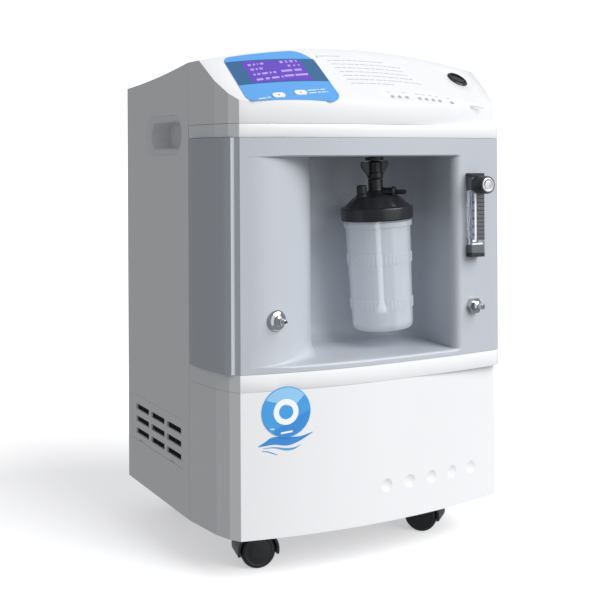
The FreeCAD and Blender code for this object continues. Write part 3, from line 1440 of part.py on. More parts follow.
def make_gas_system():
    """Two sieve tanks, the product tank and the valve manifold above them."""
    floor = "shelf_height + shelf_thickness + 0.1"
    sieves = [cylinder(f"sieve_{index}", "sieve_radius", "sieve_length", x, "edge_y + sieve_depth",
                       floor)
              for index, x in enumerate(("sieve_first_x", "sieve_second_x"))]
    node("sieve_tanks", compound("sieves", *sieves))
    node("oxygen_tank", cylinder("product_tank", "tank_radius", "tank_length", "tank_x",
                                 "edge_y + sieve_depth", floor))
    node("valve_manifold", box("manifold", "manifold_x - manifold_length / 2",
                               "edge_y + sieve_depth - manifold_width / 2",
                               f"{floor} + sieve_length + 0.2",
                               "manifold_length", "manifold_width", "manifold_height"))
    node("main_board", box("main_board_plate", "0 - mainboard_half_width", "edge_y + mainboard_depth",
                           "mainboard_bottom", "mainboard_half_width * 2", "board_thickness",
                           "mainboard_top - mainboard_bottom"))


def write_parts():
    """Check every object, then write each sub-part to its own file."""
    doc.recompute()
    for item in doc.Objects:
        if "Invalid" in item.State or "Error" in item.State:
            raise RuntimeError(f"{item.Name} failed: {item.State}")
    os.makedirs("parts", exist_ok=True)
    for label, item in nodes.items():
        shape = item.Shape
        if shape.isNull() or not shape.isValid() or not shape.Solids:
            raise RuntimeError(f"{label} has no valid solid")
        shape.exportStep(f"parts/{label}.step")


def main():
    make_lower_cover()
    make_trims(make_badge())
    make_belt()
    make_control_housing()
    make_overlay()
    make_panel_parts()
    make_rear_shell()
    make_handles()
    make_intake()
    make_rear_fittings()
    make_humidifier()
    make_flowmeter()
    make_outlets()
    make_casters()
    make_chassis()
    make_compressor()
    make_fan()
    make_gas_system()
    write_parts()


main()
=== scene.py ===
import json
import math

import bmesh
import bpy
from mathutils import Matrix, Vector
from mathutils.bvhtree import BVHTree


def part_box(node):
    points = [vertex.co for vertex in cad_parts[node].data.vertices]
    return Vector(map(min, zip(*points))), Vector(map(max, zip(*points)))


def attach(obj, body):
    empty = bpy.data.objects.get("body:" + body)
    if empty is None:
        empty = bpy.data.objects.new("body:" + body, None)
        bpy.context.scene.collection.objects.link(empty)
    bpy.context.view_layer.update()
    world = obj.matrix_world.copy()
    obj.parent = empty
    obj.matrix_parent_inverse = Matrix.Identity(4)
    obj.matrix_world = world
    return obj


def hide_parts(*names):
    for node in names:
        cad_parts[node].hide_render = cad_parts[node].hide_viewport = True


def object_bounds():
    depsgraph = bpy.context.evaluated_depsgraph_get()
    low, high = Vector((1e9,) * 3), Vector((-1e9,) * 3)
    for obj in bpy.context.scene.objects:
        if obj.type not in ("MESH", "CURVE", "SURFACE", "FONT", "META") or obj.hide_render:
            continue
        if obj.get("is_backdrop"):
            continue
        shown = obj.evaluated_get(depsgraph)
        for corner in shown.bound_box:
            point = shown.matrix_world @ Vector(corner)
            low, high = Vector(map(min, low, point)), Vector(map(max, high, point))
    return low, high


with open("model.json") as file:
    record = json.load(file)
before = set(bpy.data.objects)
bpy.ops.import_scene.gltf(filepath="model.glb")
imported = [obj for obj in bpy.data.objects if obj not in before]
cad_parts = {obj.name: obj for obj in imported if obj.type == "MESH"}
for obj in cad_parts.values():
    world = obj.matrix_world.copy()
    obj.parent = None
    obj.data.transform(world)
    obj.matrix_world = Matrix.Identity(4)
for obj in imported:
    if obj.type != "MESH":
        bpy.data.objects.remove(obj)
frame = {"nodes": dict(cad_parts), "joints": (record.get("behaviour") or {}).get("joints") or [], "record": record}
low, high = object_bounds()

MM = 0.001
NODES = frame["nodes"]
EDGE_Y = -0.1304  # the front's two corner edges, from which depths are measured
CASE_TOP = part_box("control_housing")[1].z
JOINTS = {joint["name"]: joint for joint in frame["joints"]}
MOUNTS = {mount["name"]: mount for mount in frame["record"]["mounts"]}


# ---------------------------------------------------------------- materials


def srgb(red, green, blue):
    """Linear colour of an 8-bit sRGB colour."""

    def linear(level):
        part = level / 255
        return part / 12.92 if part <= 0.04045 else ((part + 0.055) / 1.055) ** 2.4

    return (linear(red), linear(green), linear(blue), 1.0)


def finish_material(
    name,
    colour,
    roughness=0.4,
    metallic=0.0,
    grain=300.0,
    bump=0.03,
    shift=0.04,
    coat=0.0,
    transmission=0.0,
    alpha=1.0,
    emission=0.0,
    ior=1.46,
):
    """A moulded or metal finish: two close tones, uneven roughness and a fine grain."""
    material = bpy.data.materials.new(name)
    material.use_nodes = True
    tree = material.node_tree
    tree.nodes.clear()
    out = tree.nodes.new("ShaderNodeOutputMaterial")
    shader = tree.nodes.new("ShaderNodeBsdfPrincipled")
    place = tree.nodes.new("ShaderNodeTexCoord")
    cloud = tree.nodes.new("ShaderNodeTexNoise")
    cloud.inputs["Scale"].default_value = 9.0
    cloud.inputs["Detail"].default_value = 3.0
    fine = tree.nodes.new("ShaderNodeTexNoise")
    fine.inputs["Scale"].default_value = grain
    fine.inputs["Detail"].default_value = 2.0
    tones = tree.nodes.new("ShaderNodeValToRGB")
    tones.color_ramp.elements[0].color = tuple(c * (1 - shift) for c in colour[:3]) + (1.0,)
    tones.color_ramp.elements[1].color = tuple(min(1.0, c * (1 + shift)) for c in colour[:3]) + (1.0,)
    gloss = tree.nodes.new("ShaderNodeMapRange")
    gloss.inputs["To Min"].default_value = roughness * 0.9
    gloss.inputs["To Max"].default_value = min(1.0, roughness * 1.1)
    relief = tree.nodes.new("ShaderNodeBump")
    relief.inputs["Strength"].default_value = bump
    relief.inputs["Distance"].default_value = 0.0005
    link = tree.links.new
    link(place.outputs["Object"], cloud.inputs["Vector"])
    link(place.outputs["Object"], fine.inputs["Vector"])
    link(cloud.outputs["Fac"], tones.inputs["Fac"])
    link(tones.outputs["Color"], shader.inputs["Base Color"])
    link(cloud.outputs["Fac"], gloss.inputs["Value"])
    link(gloss.outputs["Result"], shader.inputs["Roughness"])
    link(fine.outputs["Fac"], relief.inputs["Height"])
    link(relief.outputs["Normal"], shader.inputs["Normal"])
    link(shader.outputs["BSDF"], out.inputs["Surface"])
    shader.inputs["Metallic"].default_value = metallic
    shader.inputs["IOR"].default_value = ior
    shader.inputs["Coat Weight"].default_value = coat
    shader.inputs["Coat Roughness"].default_value = 0.08
    shader.inputs["Transmission Weight"].default_value = transmission
    shader.inputs["Alpha"].default_value = alpha
    if emission:
        link(tones.outputs["Color"], shader.inputs["Emission Color"])
        shader.inputs["Emission Strength"].default_value = emission
    return material


FINISH = {
    "white_shell": finish_material("white_abs", srgb(238, 239, 241), 0.3, coat=0.25, bump=0.012,
                                   shift=0.01),
    "grey_belt": finish_material("belt_grey", srgb(190, 195, 203), 0.34, coat=0.2, bump=0.015,
                                 shift=0.015),
    "overlay_print": finish_material("overlay_blue", srgb(98, 166, 232), 0.3, bump=0.01, shift=0.02),
    "badge_print": finish_material("badge_blue", srgb(70, 160, 228), 0.3, bump=0.01, shift=0.12),
    "display": finish_material("display_case", srgb(60, 62, 72), 0.4),
    "circuit_board": finish_material("board_green", srgb(24, 92, 58), 0.45, shift=0.15),
    "lamp_lens": finish_material("lamp_grey", srgb(182, 185, 190), 0.2, coat=0.5),
    "button_white": finish_material("key_white", srgb(236, 242, 250), 0.35, bump=0.01, shift=0.01),
    "black_plastic": finish_material("black_moulded", srgb(34, 35, 39), 0.32, coat=0.2, bump=0.04,
                                     shift=0.08),
    "wheel_black": finish_material("black_nylon", srgb(38, 39, 43), 0.38, bump=0.04, shift=0.08),
    "foam": finish_material("filter_foam", srgb(20, 20, 22), 0.95, grain=900.0, bump=0.7, shift=0.2),
    "screw_steel": finish_material("zinc_screw", srgb(170, 172, 176), 0.3, metallic=1.0),
    # the jar's emission is a painted glow standing in for light through the frosted wall
    "clear_jar": finish_material(
        "frosted_jar_painted_glow",
        srgb(222, 227, 234),
        0.4,
        transmission=0.1,
        alpha=0.44,
        bump=0.02,
        shift=0.01,
        ior=1.3,
        emission=0.09,
    ),
    # the tube's emission is a painted glow that makes it read bright white
    "clear_tube": finish_material("milky_tube_painted_glow", srgb(244, 247, 250), 0.3, alpha=0.9, shift=0.01,
                                  emission=0.35),
    "seal_rubber": finish_material("seal_black", srgb(30, 30, 31), 0.7, bump=0.1),
    "clear_acrylic": finish_material("acrylic", srgb(225, 231, 238), 0.08, transmission=0.9, alpha=0.75,
                                     bump=0.0, ior=1.4),
    "float_steel": finish_material("float_dark", srgb(60, 61, 66), 0.2, metallic=0.8),
    "knob_face": finish_material("turned_disc", srgb(225, 227, 231), 0.22, metallic=0.6),
    "chrome_fitting": finish_material("chrome", srgb(205, 208, 213), 0.12, metallic=1.0, bump=0.01),
    "stem_steel": finish_material("stem_zinc", srgb(150, 152, 156), 0.3, metallic=1.0),
    "sheet_steel": finish_material("sheet_zinc", srgb(140, 142, 146), 0.45, metallic=0.7),
    "motor_steel": finish_material("motor_paint", srgb(70, 73, 80), 0.5),
    "cast_alloy": finish_material("cast_alloy", srgb(160, 162, 167), 0.5, metallic=0.8, bump=0.2),
    "tank_alloy": finish_material("drawn_alloy", srgb(182, 184, 189), 0.35, metallic=0.9),
}

for part in frame["record"]["subparts"]:
    holder = NODES[part["node"]]
    for seat in holder.material_slots:
        seat.material = FINISH[part["material_slot"]]

PRINT_TEAL = finish_material("print_teal", srgb(58, 104, 150), 0.3, bump=0.01, shift=0.03)
PRINT_PALE = finish_material("print_pale", srgb(225, 236, 250), 0.4, bump=0.01, shift=0.02)
PRINT_GREY = finish_material("print_grey", srgb(176, 179, 186), 0.5, bump=0.01, shift=0.04)
LCD_PURPLE = finish_material("lcd_purple", srgb(98, 70, 176), 0.25, bump=0.0, shift=0.08, emission=0.2)
LCD_MARK = finish_material("lcd_mark", srgb(172, 152, 226), 0.4, bump=0.0, shift=0.02, emission=0.2)
KEY_ORANGE = finish_material("key_orange", srgb(226, 130, 90), 0.4, bump=0.01)


# ---------------------------------------------------------------- helpers


SHARP_ANGLE = math.radians(38)
WELD_DISTANCE = 2e-6


def piece(name, mesh, material, body, smooth=True):
    """A finished mesh as a named piece that rides on a body."""
    mesh.materials.append(material)
    made = bpy.data.objects.new(name, mesh)
    bpy.context.scene.collection.objects.link(made)
    for face in mesh.polygons:
        face.use_smooth = smooth
    if smooth:
        mesh.set_sharp_from_angle(angle=SHARP_ANGLE)
    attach(made, body)
    return made


def mesh_from(name, points, faces):
    """A mesh with doubled points joined and its faces turned outwards."""
    mesh = bpy.data.meshes.new(name)
    mesh.from_pydata([tuple(p) for p in points], [], faces)
    shape = bmesh.new()
    shape.from_mesh(mesh)
    bmesh.ops.remove_doubles(shape, verts=shape.verts, dist=WELD_DISTANCE)
    bmesh.ops.dissolve_degenerate(shape, edges=shape.edges, dist=WELD_DISTANCE / 2)
    bmesh.ops.recalc_face_normals(shape, faces=shape.faces)
    shape.to_mesh(mesh)
    shape.free()
    return mesh


def ray_tree(*names):
    """A ray target made of the CAD nodes' meshes."""
    points, faces = [], []
    for name in names:
        base = len(points)
        data = NODES[name].data
        points += [v.co.copy() for v in data.vertices]
        faces += [[base + i for i in f.vertices] for f in data.polygons]
    return BVHTree.FromPolygons(points, faces)


FRONT_SKIN = ray_tree("lower_cover")
PANEL_SLOPE = 0.77
PANEL_RUN = math.hypot(1, PANEL_SLOPE)
RIDGE_DEPTH = 66 * MM
HALF_WIDTH = 192.7 * MM
CROWN_RISE = 21.5 * MM
CROWN = (HALF_WIDTH**2 + CROWN_RISE**2) / (2 * CROWN_RISE)


def on_panel(x, down, lift):
    """Point on the sloped control panel, all in millimetres."""
    x, down, lift = x * MM, down * MM, lift * MM
    drop = CROWN - math.sqrt(CROWN**2 - x**2)
    depth = RIDGE_DEPTH - down / PANEL_RUN
    spot = Vector((x, EDGE_Y + depth, CASE_TOP - drop - down * PANEL_SLOPE / PANEL_RUN))
    normal = Vector((x / (CROWN - drop), -PANEL_SLOPE, 1.0)).normalized()
    return spot + normal * lift


def slab(points_top, points_low, columns, rows):
    """Closed thin plate from two matching grids of points."""
    points = points_top + points_low
    offset = len(points_top)
    faces = []
    for i in range(columns - 1):
        for j in range(rows - 1):
            a = i * rows + j
            faces.append((a, a + 1, a + rows + 1, a + rows))
            faces.append((offset + a, offset + a + rows, offset + a + rows + 1, offset + a + 1))
    rim = [i * rows for i in range(columns)]
    rim += [(columns - 1) * rows + j for j in range(1, rows)]
    rim += [i * rows + rows - 1 for i in range(columns - 2, -1, -1)]
    rim += [j for j in range(rows - 2, 0, -1)]
    for here, there in zip(rim, rim[1:] + rim[:1]):
        faces.append((here, there, offset + there, offset + here))
    return points, faces


def panel_patch(x_from, x_to, top, bottom, lift, thickness, step=1.5, rows=4):
    """Plate on the control panel between two edges given as functions of x."""
    count = max(2, int(round((x_to - x_from) / step)) + 1)
    upper, lower = [], []
    for i in range(count):
        x = x_from + (x_to - x_from) * i / (count - 1)
        for j in range(rows):
            down = top(x) + (bottom(x) - top(x)) * j / (rows - 1)
            upper.append(on_panel(x, down, lift))
            lower.append(on_panel(x, down, lift - thickness))
    return slab(upper, lower, count, rows)


def merge(parts):
    """Several (points, faces) groups as one."""
    points, faces = [], []
    for group_points, group_faces in parts:
        base = len(points)
        points += group_points
        faces += [tuple(base + i for i in f) for f in group_faces]
    return points, faces


# ---------------------------------------------------------------- control panel print

OVERLAY = {"left": -163, "right": -53, "top": 5, "small": 8, "big": 26}
OVERLAY_TILT = 0.095
OVERLAY_MARGIN = 0.4
BAND_TOP, BAND_LOW = 13.4, 59.5
WINDOW_LEFT, WINDOW_RIGHT, WINDOW_TOP, WINDOW_LOW = -145, -73, 15.5, 57.5
PRINT_THICKNESS = 0.12
BAND_LIFT, LABEL_LIFT, WINDOW_LIFT, MARK_LIFT, NOTE_LIFT = 0.66, 0.68, 0.74, 0.8, 0.12


def tilted(start):
    """A printed line of the overlay, which drops towards its right end."""
    return lambda x: start + OVERLAY_TILT * (x - OVERLAY["left"])


def overlay_top(x):
    """Upper edge of the overlay with its small left and big right corner."""
    left, right, top = OVERLAY["left"], OVERLAY["right"], OVERLAY["top"]
    if x < left + OVERLAY["small"]:
        run = left + OVERLAY["small"] - x
        return top + OVERLAY["small"] - math.sqrt(max(0, OVERLAY["small"] ** 2 - run**2))
    if x > right - OVERLAY["big"]:
        run = x - (right - OVERLAY["big"])
        return top + OVERLAY["big"] - math.sqrt(max(0, OVERLAY["big"] ** 2 - run**2))
    return top


band = panel_patch(
    OVERLAY["left"] + OVERLAY_MARGIN,
    OVERLAY["right"] - OVERLAY_MARGIN,
    lambda x: max(tilted(BAND_TOP)(x), overlay_top(x)),
    tilted(BAND_LOW),
    BAND_LIFT,
    PRINT_THICKNESS,
    step=1.0,
)
piece("overlay_dark_band", mesh_from("overlay_dark_band", *band), PRINT_TEAL, "cabinet")

window = panel_patch(
    WINDOW_LEFT, WINDOW_RIGHT, tilted(WINDOW_TOP), tilted(WINDOW_LOW), WINDOW_LIFT, PRINT_THICKNESS
)
piece("lcd_window", mesh_from("lcd_window", *window), LCD_PURPLE, "cabinet")


def bar(x, down, length, height, lift):
    """A short printed bar on the control panel."""
    return panel_patch(x, x + length, lambda s: down, lambda s: down + height, lift, 0.1, step=3, rows=2)


SHORTEST_DASH = 0.6


def dash_row(x_from, x_to, down, height, lift, lengths, gap):
    """A run of short bars that stands for a printed line."""
    bars, x, turn = [], x_from, 0
    while x < x_to:
        length = min(lengths[turn % len(lengths)], x_to - x)
        if length > SHORTEST_DASH:
            bars.append(bar(x, down, length, height, lift))
        x += length + gap
        turn += 1
    return bars


# one row: from, to, distance down the panel, height, lengths of its dashes, gap
MARKS = (
    (-139, -118, 24, 3.4, (4, 2.4, 1.4), 2.6),
    (-99, -77, 24, 4.4, (4, 2.2), 3.4),
    (-139, -124, 33, 3.6, (4.4, 2), 2.4),
    (-92, -77, 33, 3.4, (3.4, 2), 4),
    (-139, -110, 43, 3.4, (2.4, 3.4, 7), 2.4),
    (-104, -75, 42, 3.8, (14, 9), 3),
    (-139, -106, 53, 3.6, (8, 5, 9), 3),
    (-104, -73, 52, 3.6, (12, 16), 2),
)
marks = []
for first, last, down, height, lengths, gap in MARKS:
    marks += dash_row(first, last, down, height, MARK_LIFT, lengths, gap)
piece("lcd_marks", mesh_from("lcd_marks", *merge(marks)), LCD_MARK, "cabinet")

LABELS = (
    (-150, -134, 88, (9, 4)),
    (-88, -66, 84, (11, 2)),
    (-88, -64, 89, (9, 4, 5)),
)
labels = []
for first, last, down, lengths in LABELS:
    labels += dash_row(first, last, down, 1.6, LABEL_LIFT, lengths, 1.6)
piece("key_labels", mesh_from("key_labels", *merge(labels)), PRINT_PALE, "cabinet")

# the printed notes: from, to, distance down the panel
NOTES = (
    (-44, -14, 16),
    (-36, 42, 25),
    (-34, 62, 33),
    (-33, 63, 41),
    (-30, 66, 49),
    (-29, 68, 57),
    (-28, 76, 65),
    (-26, 34, 73),
)
NOTE_WORDS = ((9, 5, 12, 7), (6, 11, 4, 8), (12, 7, 9, 5))
LAMP_PLACES = (16, 36.5, 55, 64.5, 74, 83.5, 100)
LAMP_LABEL = {"down": 89.5, "length": 5.2, "height": 1.1}
notes = []
for index, (first, last, down) in enumerate(NOTES):
    words = NOTE_WORDS[index % len(NOTE_WORDS)]
    notes += dash_row(first, last, down, 1.1, NOTE_LIFT, words, 1.5)
notes += [bar(-48 + 0.8 * i, 19 - 2.2 * i, 0.8, 1 + 2.2 * i, NOTE_LIFT) for i in range(3)]
for x in LAMP_PLACES:
    label_start = x - LAMP_LABEL["length"] / 2
    notes += [bar(label_start, LAMP_LABEL["down"], LAMP_LABEL["length"], LAMP_LABEL["height"], NOTE_LIFT)]
notes += [bar(131, 96, 18, 1.2, NOTE_LIFT)]
piece("panel_notes", mesh_from("panel_notes", *merge(notes)), PRINT_GREY, "cabinet")

# ---------------------------------------------------------------- turned pieces


def soften(corners, radius, steps=3, closed=False):
    """A polyline with its corners rounded."""
    result = []
    count = len(corners)
    for i, corner in enumerate(corners):
        here = Vector(corner)
        if not closed and i in (0, count - 1):
            result.append(tuple(here))
            continue
        before = Vector(corners[i - 1]) - here
        after = Vector(corners[(i + 1) % count]) - here
        reach = min(radius, before.length * 0.45, after.length * 0.45)
        first = here + before.normalized() * reach
        last = here + after.normalized() * reach
        for k in range(steps + 1):
            t = k / steps
            result.append(tuple(first * (1 - t) ** 2 + here * 2 * t * (1 - t) + last * t**2))
    return result


def turned(profile, spot, segments=72, closed=False, wave=None):
    """A profile of (radius, height) in millimetres turned about the Z axis of a frame."""
    points, faces = [], []
    rows = len(profile)
    for i in range(segments):
        angle = 2 * math.pi * i / segments
        for radius, height in profile:
            if wave and radius > 0:
                radius += wave(angle, radius, height)
            flat = (radius * math.cos(angle) * MM, radius * math.sin(angle) * MM, height * MM)
            points.append(spot @ Vector(flat))
    for i in range(segments):
        following = (i + 1) % segments
        for j in range(rows if closed else rows - 1):
            k = (j + 1) % rows
            faces.append((i * rows + j, following * rows + j, following * rows + k, i * rows + k))
    return points, faces


def block(corner, opposite):
    """A box between two corners, in metres."""
    xs, ys, zs = zip(corner, opposite)
    points = [Vector((x, y, z)) for x in xs for y in ys for z in zs]
    faces = [(0, 1, 3, 2), (4, 6, 7, 5), (0, 4, 5, 1), (2, 3, 7, 6), (0, 2, 6, 4), (1, 5, 7, 3)]
    return points, faces


def soft_edges(made, width, segments=2, angle=35):
    """A small rounding, in millimetres, on the sharp edges of a piece."""
    bevel = made.modifiers.new("soft_edges", "BEVEL")
    bevel.width = width * MM
    bevel.segments = segments
    bevel.limit_method = "ANGLE"
    bevel.angle_limit = math.radians(angle)
    return made


def frame_at(spot, axis):
    """A frame at a point with its Z along an axis."""
    return Matrix.Translation(Vector(spot)) @ Vector(axis).to_track_quat("Z", "Y").to_matrix().to_4x4()


# ---------------------------------------------------------------- humidifier

HANG = Vector(JOINTS["jar_turn"]["pos_m"])
TILT = math.atan2(JOINTS["jar_turn"]["axis"][0], JOINTS["jar_turn"]["axis"][2])
BOTTLE = Matrix.Translation(HANG) @ Matrix.Rotation(TILT, 4, "Y")


# heights are in millimetres from the point where the bottle hangs
JAR_BANDS = ((-113.5, -127), (-167, -180))
JAR_NECK = -84
JAR_FOOT = -204
JAR_FOOT_RADIUS, JAR_NECK_RADIUS = 35.8, 38.5
JAR_TAPER_HEIGHT = 121
JAR_SKIN_RADIUS = 34
KNURLS, FLUTES = 48, 4


def jar_wave(angle, radius, height):
    """Flutes down the wall and a fine knurl on the two bands."""
    if radius < JAR_SKIN_RADIUS or height > JAR_NECK:
        return 0.0
    for top, bottom in JAR_BANDS:
        if bottom + 0.8 < height < top - 0.8:
            return 0.9 + 0.35 * math.cos(KNURLS * angle)
    return 0.7 * max(0.0, math.cos(FLUTES * angle + 0.5)) ** 10


def jar_radius(height):
    spread = JAR_NECK_RADIUS - JAR_FOOT_RADIUS
    return JAR_FOOT_RADIUS + spread * (height - JAR_FOOT) / JAR_TAPER_HEIGHT


jar_outside = soften([(0, -202.4), (27.5, -202.4), (28.8, JAR_FOOT), (33.4, JAR_FOOT), (35.6, -200.5)],
                     1.2)
heights = [-195 + 3.4 * i for i in range(33)]
for edge in [level for band_edges in reversed(JAR_BANDS) for level in reversed(band_edges)]:
    heights += [edge - 0.9, edge - 0.7, edge + 0.7, edge + 0.9]
jar_outside += [(jar_radius(h), h) for h in sorted(heights) if h < JAR_NECK]
jar_outside += soften([(38.5, -83.4), (40.5, -83), (40.5, -77), (37, -77), (37, -65), (35, -65)], 0.7, 2)
jar_outside += [(35, -84), (33.6, -198), (31, -200.3), (0, -200.4)]
jar = piece(
    "jar_wall",
    mesh_from("jar_wall", *turned(jar_outside, BOTTLE, 192, wave=jar_wave)),
    FINISH["clear_jar"],
    "jar",
)
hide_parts("humidifier_jar")

LID_OUTSIDE = soften(
    [(37.4, -75), (43, -75), (43, -60), (39, -59.4), (25.5, -47), (14, -44.5), (8.8, -40), (8.8, -26.5),
     (3.2, -26.5)], 1.6, 4
)
LID_INSIDE = [(3.2, -49), (22, -51), (35, -62), (37.4, -62)]


def lid_wave(angle, radius, height):
    """Shallow ribs on the shoulder and grip flats round the rim."""
    if 15 < radius < 38 and -59 < height < -45:
        return 0.35 * math.cos(12 * angle)
    if radius > 42.4 and -73 < height < -62:
        return -0.35 * (0.5 + 0.5 * math.cos(36 * angle))
    return 0.0


lid = piece(
    "humidifier_cap",
    mesh_from("humidifier_cap", *turned(LID_OUTSIDE + LID_INSIDE, BOTTLE, 216, closed=True,
                                        wave=lid_wave)),
    FINISH["black_plastic"],
    "cabinet",
)
SWING = Vector(MOUNTS["humidifier_outlet"]["axis"])
SPOUT_REACH = 27.05
SPOUT = frame_at(Vector(MOUNTS["humidifier_outlet"]["pos_m"]) - SWING * SPOUT_REACH * MM, SWING)
RELIEF = BOTTLE @ Matrix.Translation((-0.0196, 0, 0))
spout_profile = soften(
    [(0, 5), (5.6, 5), (5.6, 21), (6.6, 21.6), (6.6, 24.4), (5.4, 25), (2.5, 25.4), (2.5, 27.4),
     (3.1, 28), (2.4, 30.4)], 0.5, 2
)
spout_profile += [(3.1, 31.4), (2.4, 33.8), (3.1, 34.6), (2.1, 37.8), (1.3, 38), (1.3, 27), (0, 27)]
spout = piece(
    "humidifier_spout",
    mesh_from("humidifier_spout", *turned(spout_profile, SPOUT, 48)),
    FINISH["black_plastic"],
    "cabinet",
)
boss = soften([(0, -61), (7.2, -61), (7.2, -44.4), (6.4, -44), (0, -44)], 0.6)
relief_seat = piece(
    "relief_seat",
    mesh_from("relief_seat", *turned(boss, RELIEF, 48)),
    FINISH["black_plastic"],
    "cabinet",
)
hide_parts("humidifier_lid")
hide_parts("humidifier_lid")
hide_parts("humidifier_lid")


def relief_wave(angle, radius, height):
    """Knurl of the relief valve's cap."""
    return 0.3 * math.cos(16 * angle) if radius > 5.4 and -43.5 < height < -34.5 else 0.0


relief_profile = soften([(0, -43.9), (6, -43.9), (6, -34), (4.6, -33), (1.6, -33), (1.6, -34), (0, -34)],
                        0.5, 2)
relief = piece(
    "relief_knob",
    mesh_from("relief_knob", *turned(relief_profile, RELIEF, 96, wave=relief_wave)),
    FINISH["black_plastic"],
    "cabinet",
)
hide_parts("relief_valve")

hub_profile = soften(
    [(4.5, -26), (9.4, -26), (9.4, -21), (8.4, -18), (8.2, -7), (7.2, -5.6), (4.5, -5.6)], 0.7, 3
)


def hub_wave(angle, radius, height):
    """Shallow grip lines on the wing nut's hub."""
    return 0.25 * math.cos(10 * angle) if radius > 7.8 and height > -25 else 0.0


wing_outline = [(6.5, -24), (9.5, -23.8), (18.4, -12.5), (18.9, -7.6), (17.6, -5.8), (12, -6.6),
                (6.5, -6.2)]
WING_MIDDLE = (12.5, -14)
WING_LAYERS = ((-1.7, 0.048), (-1.1, 0.0), (1.1, 0.0), (1.7, 0.048))  # depth and inset of each outline
wings = [turned(hub_profile, BOTTLE, 80, closed=True, wave=hub_wave)]
for side in (-1, 1):
    outline = [Vector((side * x, 0, z)) for x, z in soften(wing_outline, 1.6, 3, closed=True)]
    count = len(outline)
    plate = []
    middle = Vector((side * WING_MIDDLE[0], 0, WING_MIDDLE[1]))
    for depth, inset in WING_LAYERS:
        for spot in outline:
            plate.append(BOTTLE @ ((spot.lerp(middle, inset) + Vector((0, depth, 0))) * MM))
    walls = [tuple(range(count)), tuple(range(4 * count - 1, 3 * count - 1, -1))]
    for layer in range(3):
        for i in range(count):
            j = (i + 1) % count
            walls.append((layer * count + i, layer * count + j, (layer + 1) * count + j,
                          (layer + 1) * count + i))
    wings.append((plate, walls))
nut = piece("wing_nut_body", mesh_from("wing_nut_body", *merge(wings)), FINISH["black_plastic"],
            "wing_nut")
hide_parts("wing_nut")

# ---------------------------------------------------------------- casters

TYRE = soften([(3.06, 4.2), (17, 4.2), (20, 5.6), (20, 15), (17.8, 18), (15.6, 18.4), (14.6, 18.0),
               (8, 19.0), (0, 19.2)], 0.9, 3)
for joint in frame["joints"]:
    if not joint["name"].startswith("wheel_"):
        continue
    body = joint["child"]
    node = f"caster_{body}"
    axis = Vector(joint["axis"])
    hub = Vector(joint["pos_m"])
    near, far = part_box(node)
    if ((near + far) / 2 - hub).dot(axis) < 0:
        axis = -axis
    wheel = piece(
        f"{node}_tyre",
        mesh_from(f"{node}_tyre", *turned(TYRE + [(0, 4.2)], frame_at(hub, axis), 64)),
        FINISH["wheel_black"],
        body,
    )
    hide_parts(node)

# ---------------------------------------------------------------- flowmeter and outlets

METER_LOW, METER_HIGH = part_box("flowmeter_block")
METER_X = (METER_LOW.x + METER_HIGH.x) / 2
METER_FACE = METER_LOW.y - 0.1 * MM
METER_INSET = 0.4 * MM
HEAD_LEVEL = METER_HIGH.z - 16 * MM
FOOT_LEVEL = METER_LOW.z + 9.5 * MM
SCALE_START = 17
SCALE_PITCH = 4.7
METER_DARK = finish_material("meter_dark", srgb(92, 94, 102), 0.2, coat=0.4, shift=0.05)
METER_BLACK = finish_material("meter_black", srgb(44, 45, 51), 0.25, coat=0.4, shift=0.05)
# painted highlight: an emissive near-white for the bright highlight line of the tube and the reflections on the
# clear base
METER_PAINTED_HIGHLIGHT = finish_material("meter_painted_highlight", srgb(246, 247, 250), 0.25, shift=0.01, emission=0.3)


def face_bar(x, z, length, height, proud=0.15):
    """A small bar on the front of the flowmeter, in millimetres from its middle and lower end."""
    corner = (METER_X + x * MM, METER_FACE - proud * MM, METER_LOW.z + z * MM)
    return block(corner, (corner[0] + length * MM, METER_FACE + 0.05 * MM, corner[2] + height * MM))


piece("flow_scale", mesh_from("flow_scale", *face_bar(-2.6, 15, 11.8, 58, 0.05)), METER_DARK, "cabinet",
      smooth=False)
ticks = []
for i in range(12):
    start, length = (-2.4, 11.4) if i % 2 else (0.4, 8.6)
    ticks.append(face_bar(start, SCALE_START + SCALE_PITCH * i, length, 1.0))
ticks += [face_bar(-8.0, 21 + 2 * SCALE_PITCH * i, 2.4, 2.4) for i in range(5)]
piece("flow_ticks", mesh_from("flow_ticks", *merge(ticks)), METER_BLACK, "cabinet",
      smooth=False)
# painted highlight: a thin glowing white rod stands for the bright highlight line on the flowmeter tube
tube_highlight_profile = soften([(0, 16), (1.3, 16), (1.3, 70), (0, 70)], 0.5, 2)
line_spot = Matrix.Translation((METER_X - 3.6 * MM, METER_FACE + 0.9 * MM, METER_LOW.z))
piece("flow_tube_highlight", mesh_from("flow_tube_highlight", *turned(tube_highlight_profile, line_spot, 24)), METER_PAINTED_HIGHLIGHT, "cabinet")


def meter_end(name, bottom, top):
    """A dark end of the clear block between two levels."""
    near = (METER_LOW.x + METER_INSET, METER_LOW.y + 0.3 * MM, bottom)
    far = (METER_HIGH.x - METER_INSET, METER_HIGH.y - METER_INSET, top)
    soft_edges(piece(name, mesh_from(name, *block(near, far)), METER_DARK, "cabinet"),
               0.8)


meter_end("flow_head", HEAD_LEVEL, METER_HIGH.z - 0.3 * MM)
meter_end("flow_foot", METER_LOW.z + 0.3 * MM, FOOT_LEVEL)
# painted reflections: glowing white bars for the bright reflections on the flowmeter's clear base
shine = merge([face_bar(-8.6, 10.2, 15, 1.6), face_bar(-8.4, 13.6, 5.5, 2.2)])
piece("flow_painted_shine", mesh_from("flow_painted_shine", *shine), METER_PAINTED_HIGHLIGHT, "cabinet",
      smooth=False)

KNOB = frame_at(JOINTS["knob_turn"]["pos_m"], JOINTS["knob_turn"]["axis"])


def knob_wave(angle, radius, height):
    """Grip grooves round the knob."""
    return 0.28 * math.cos(28 * angle) - 0.28 if radius > 10 and 1.5 < height < 17 else 0.0


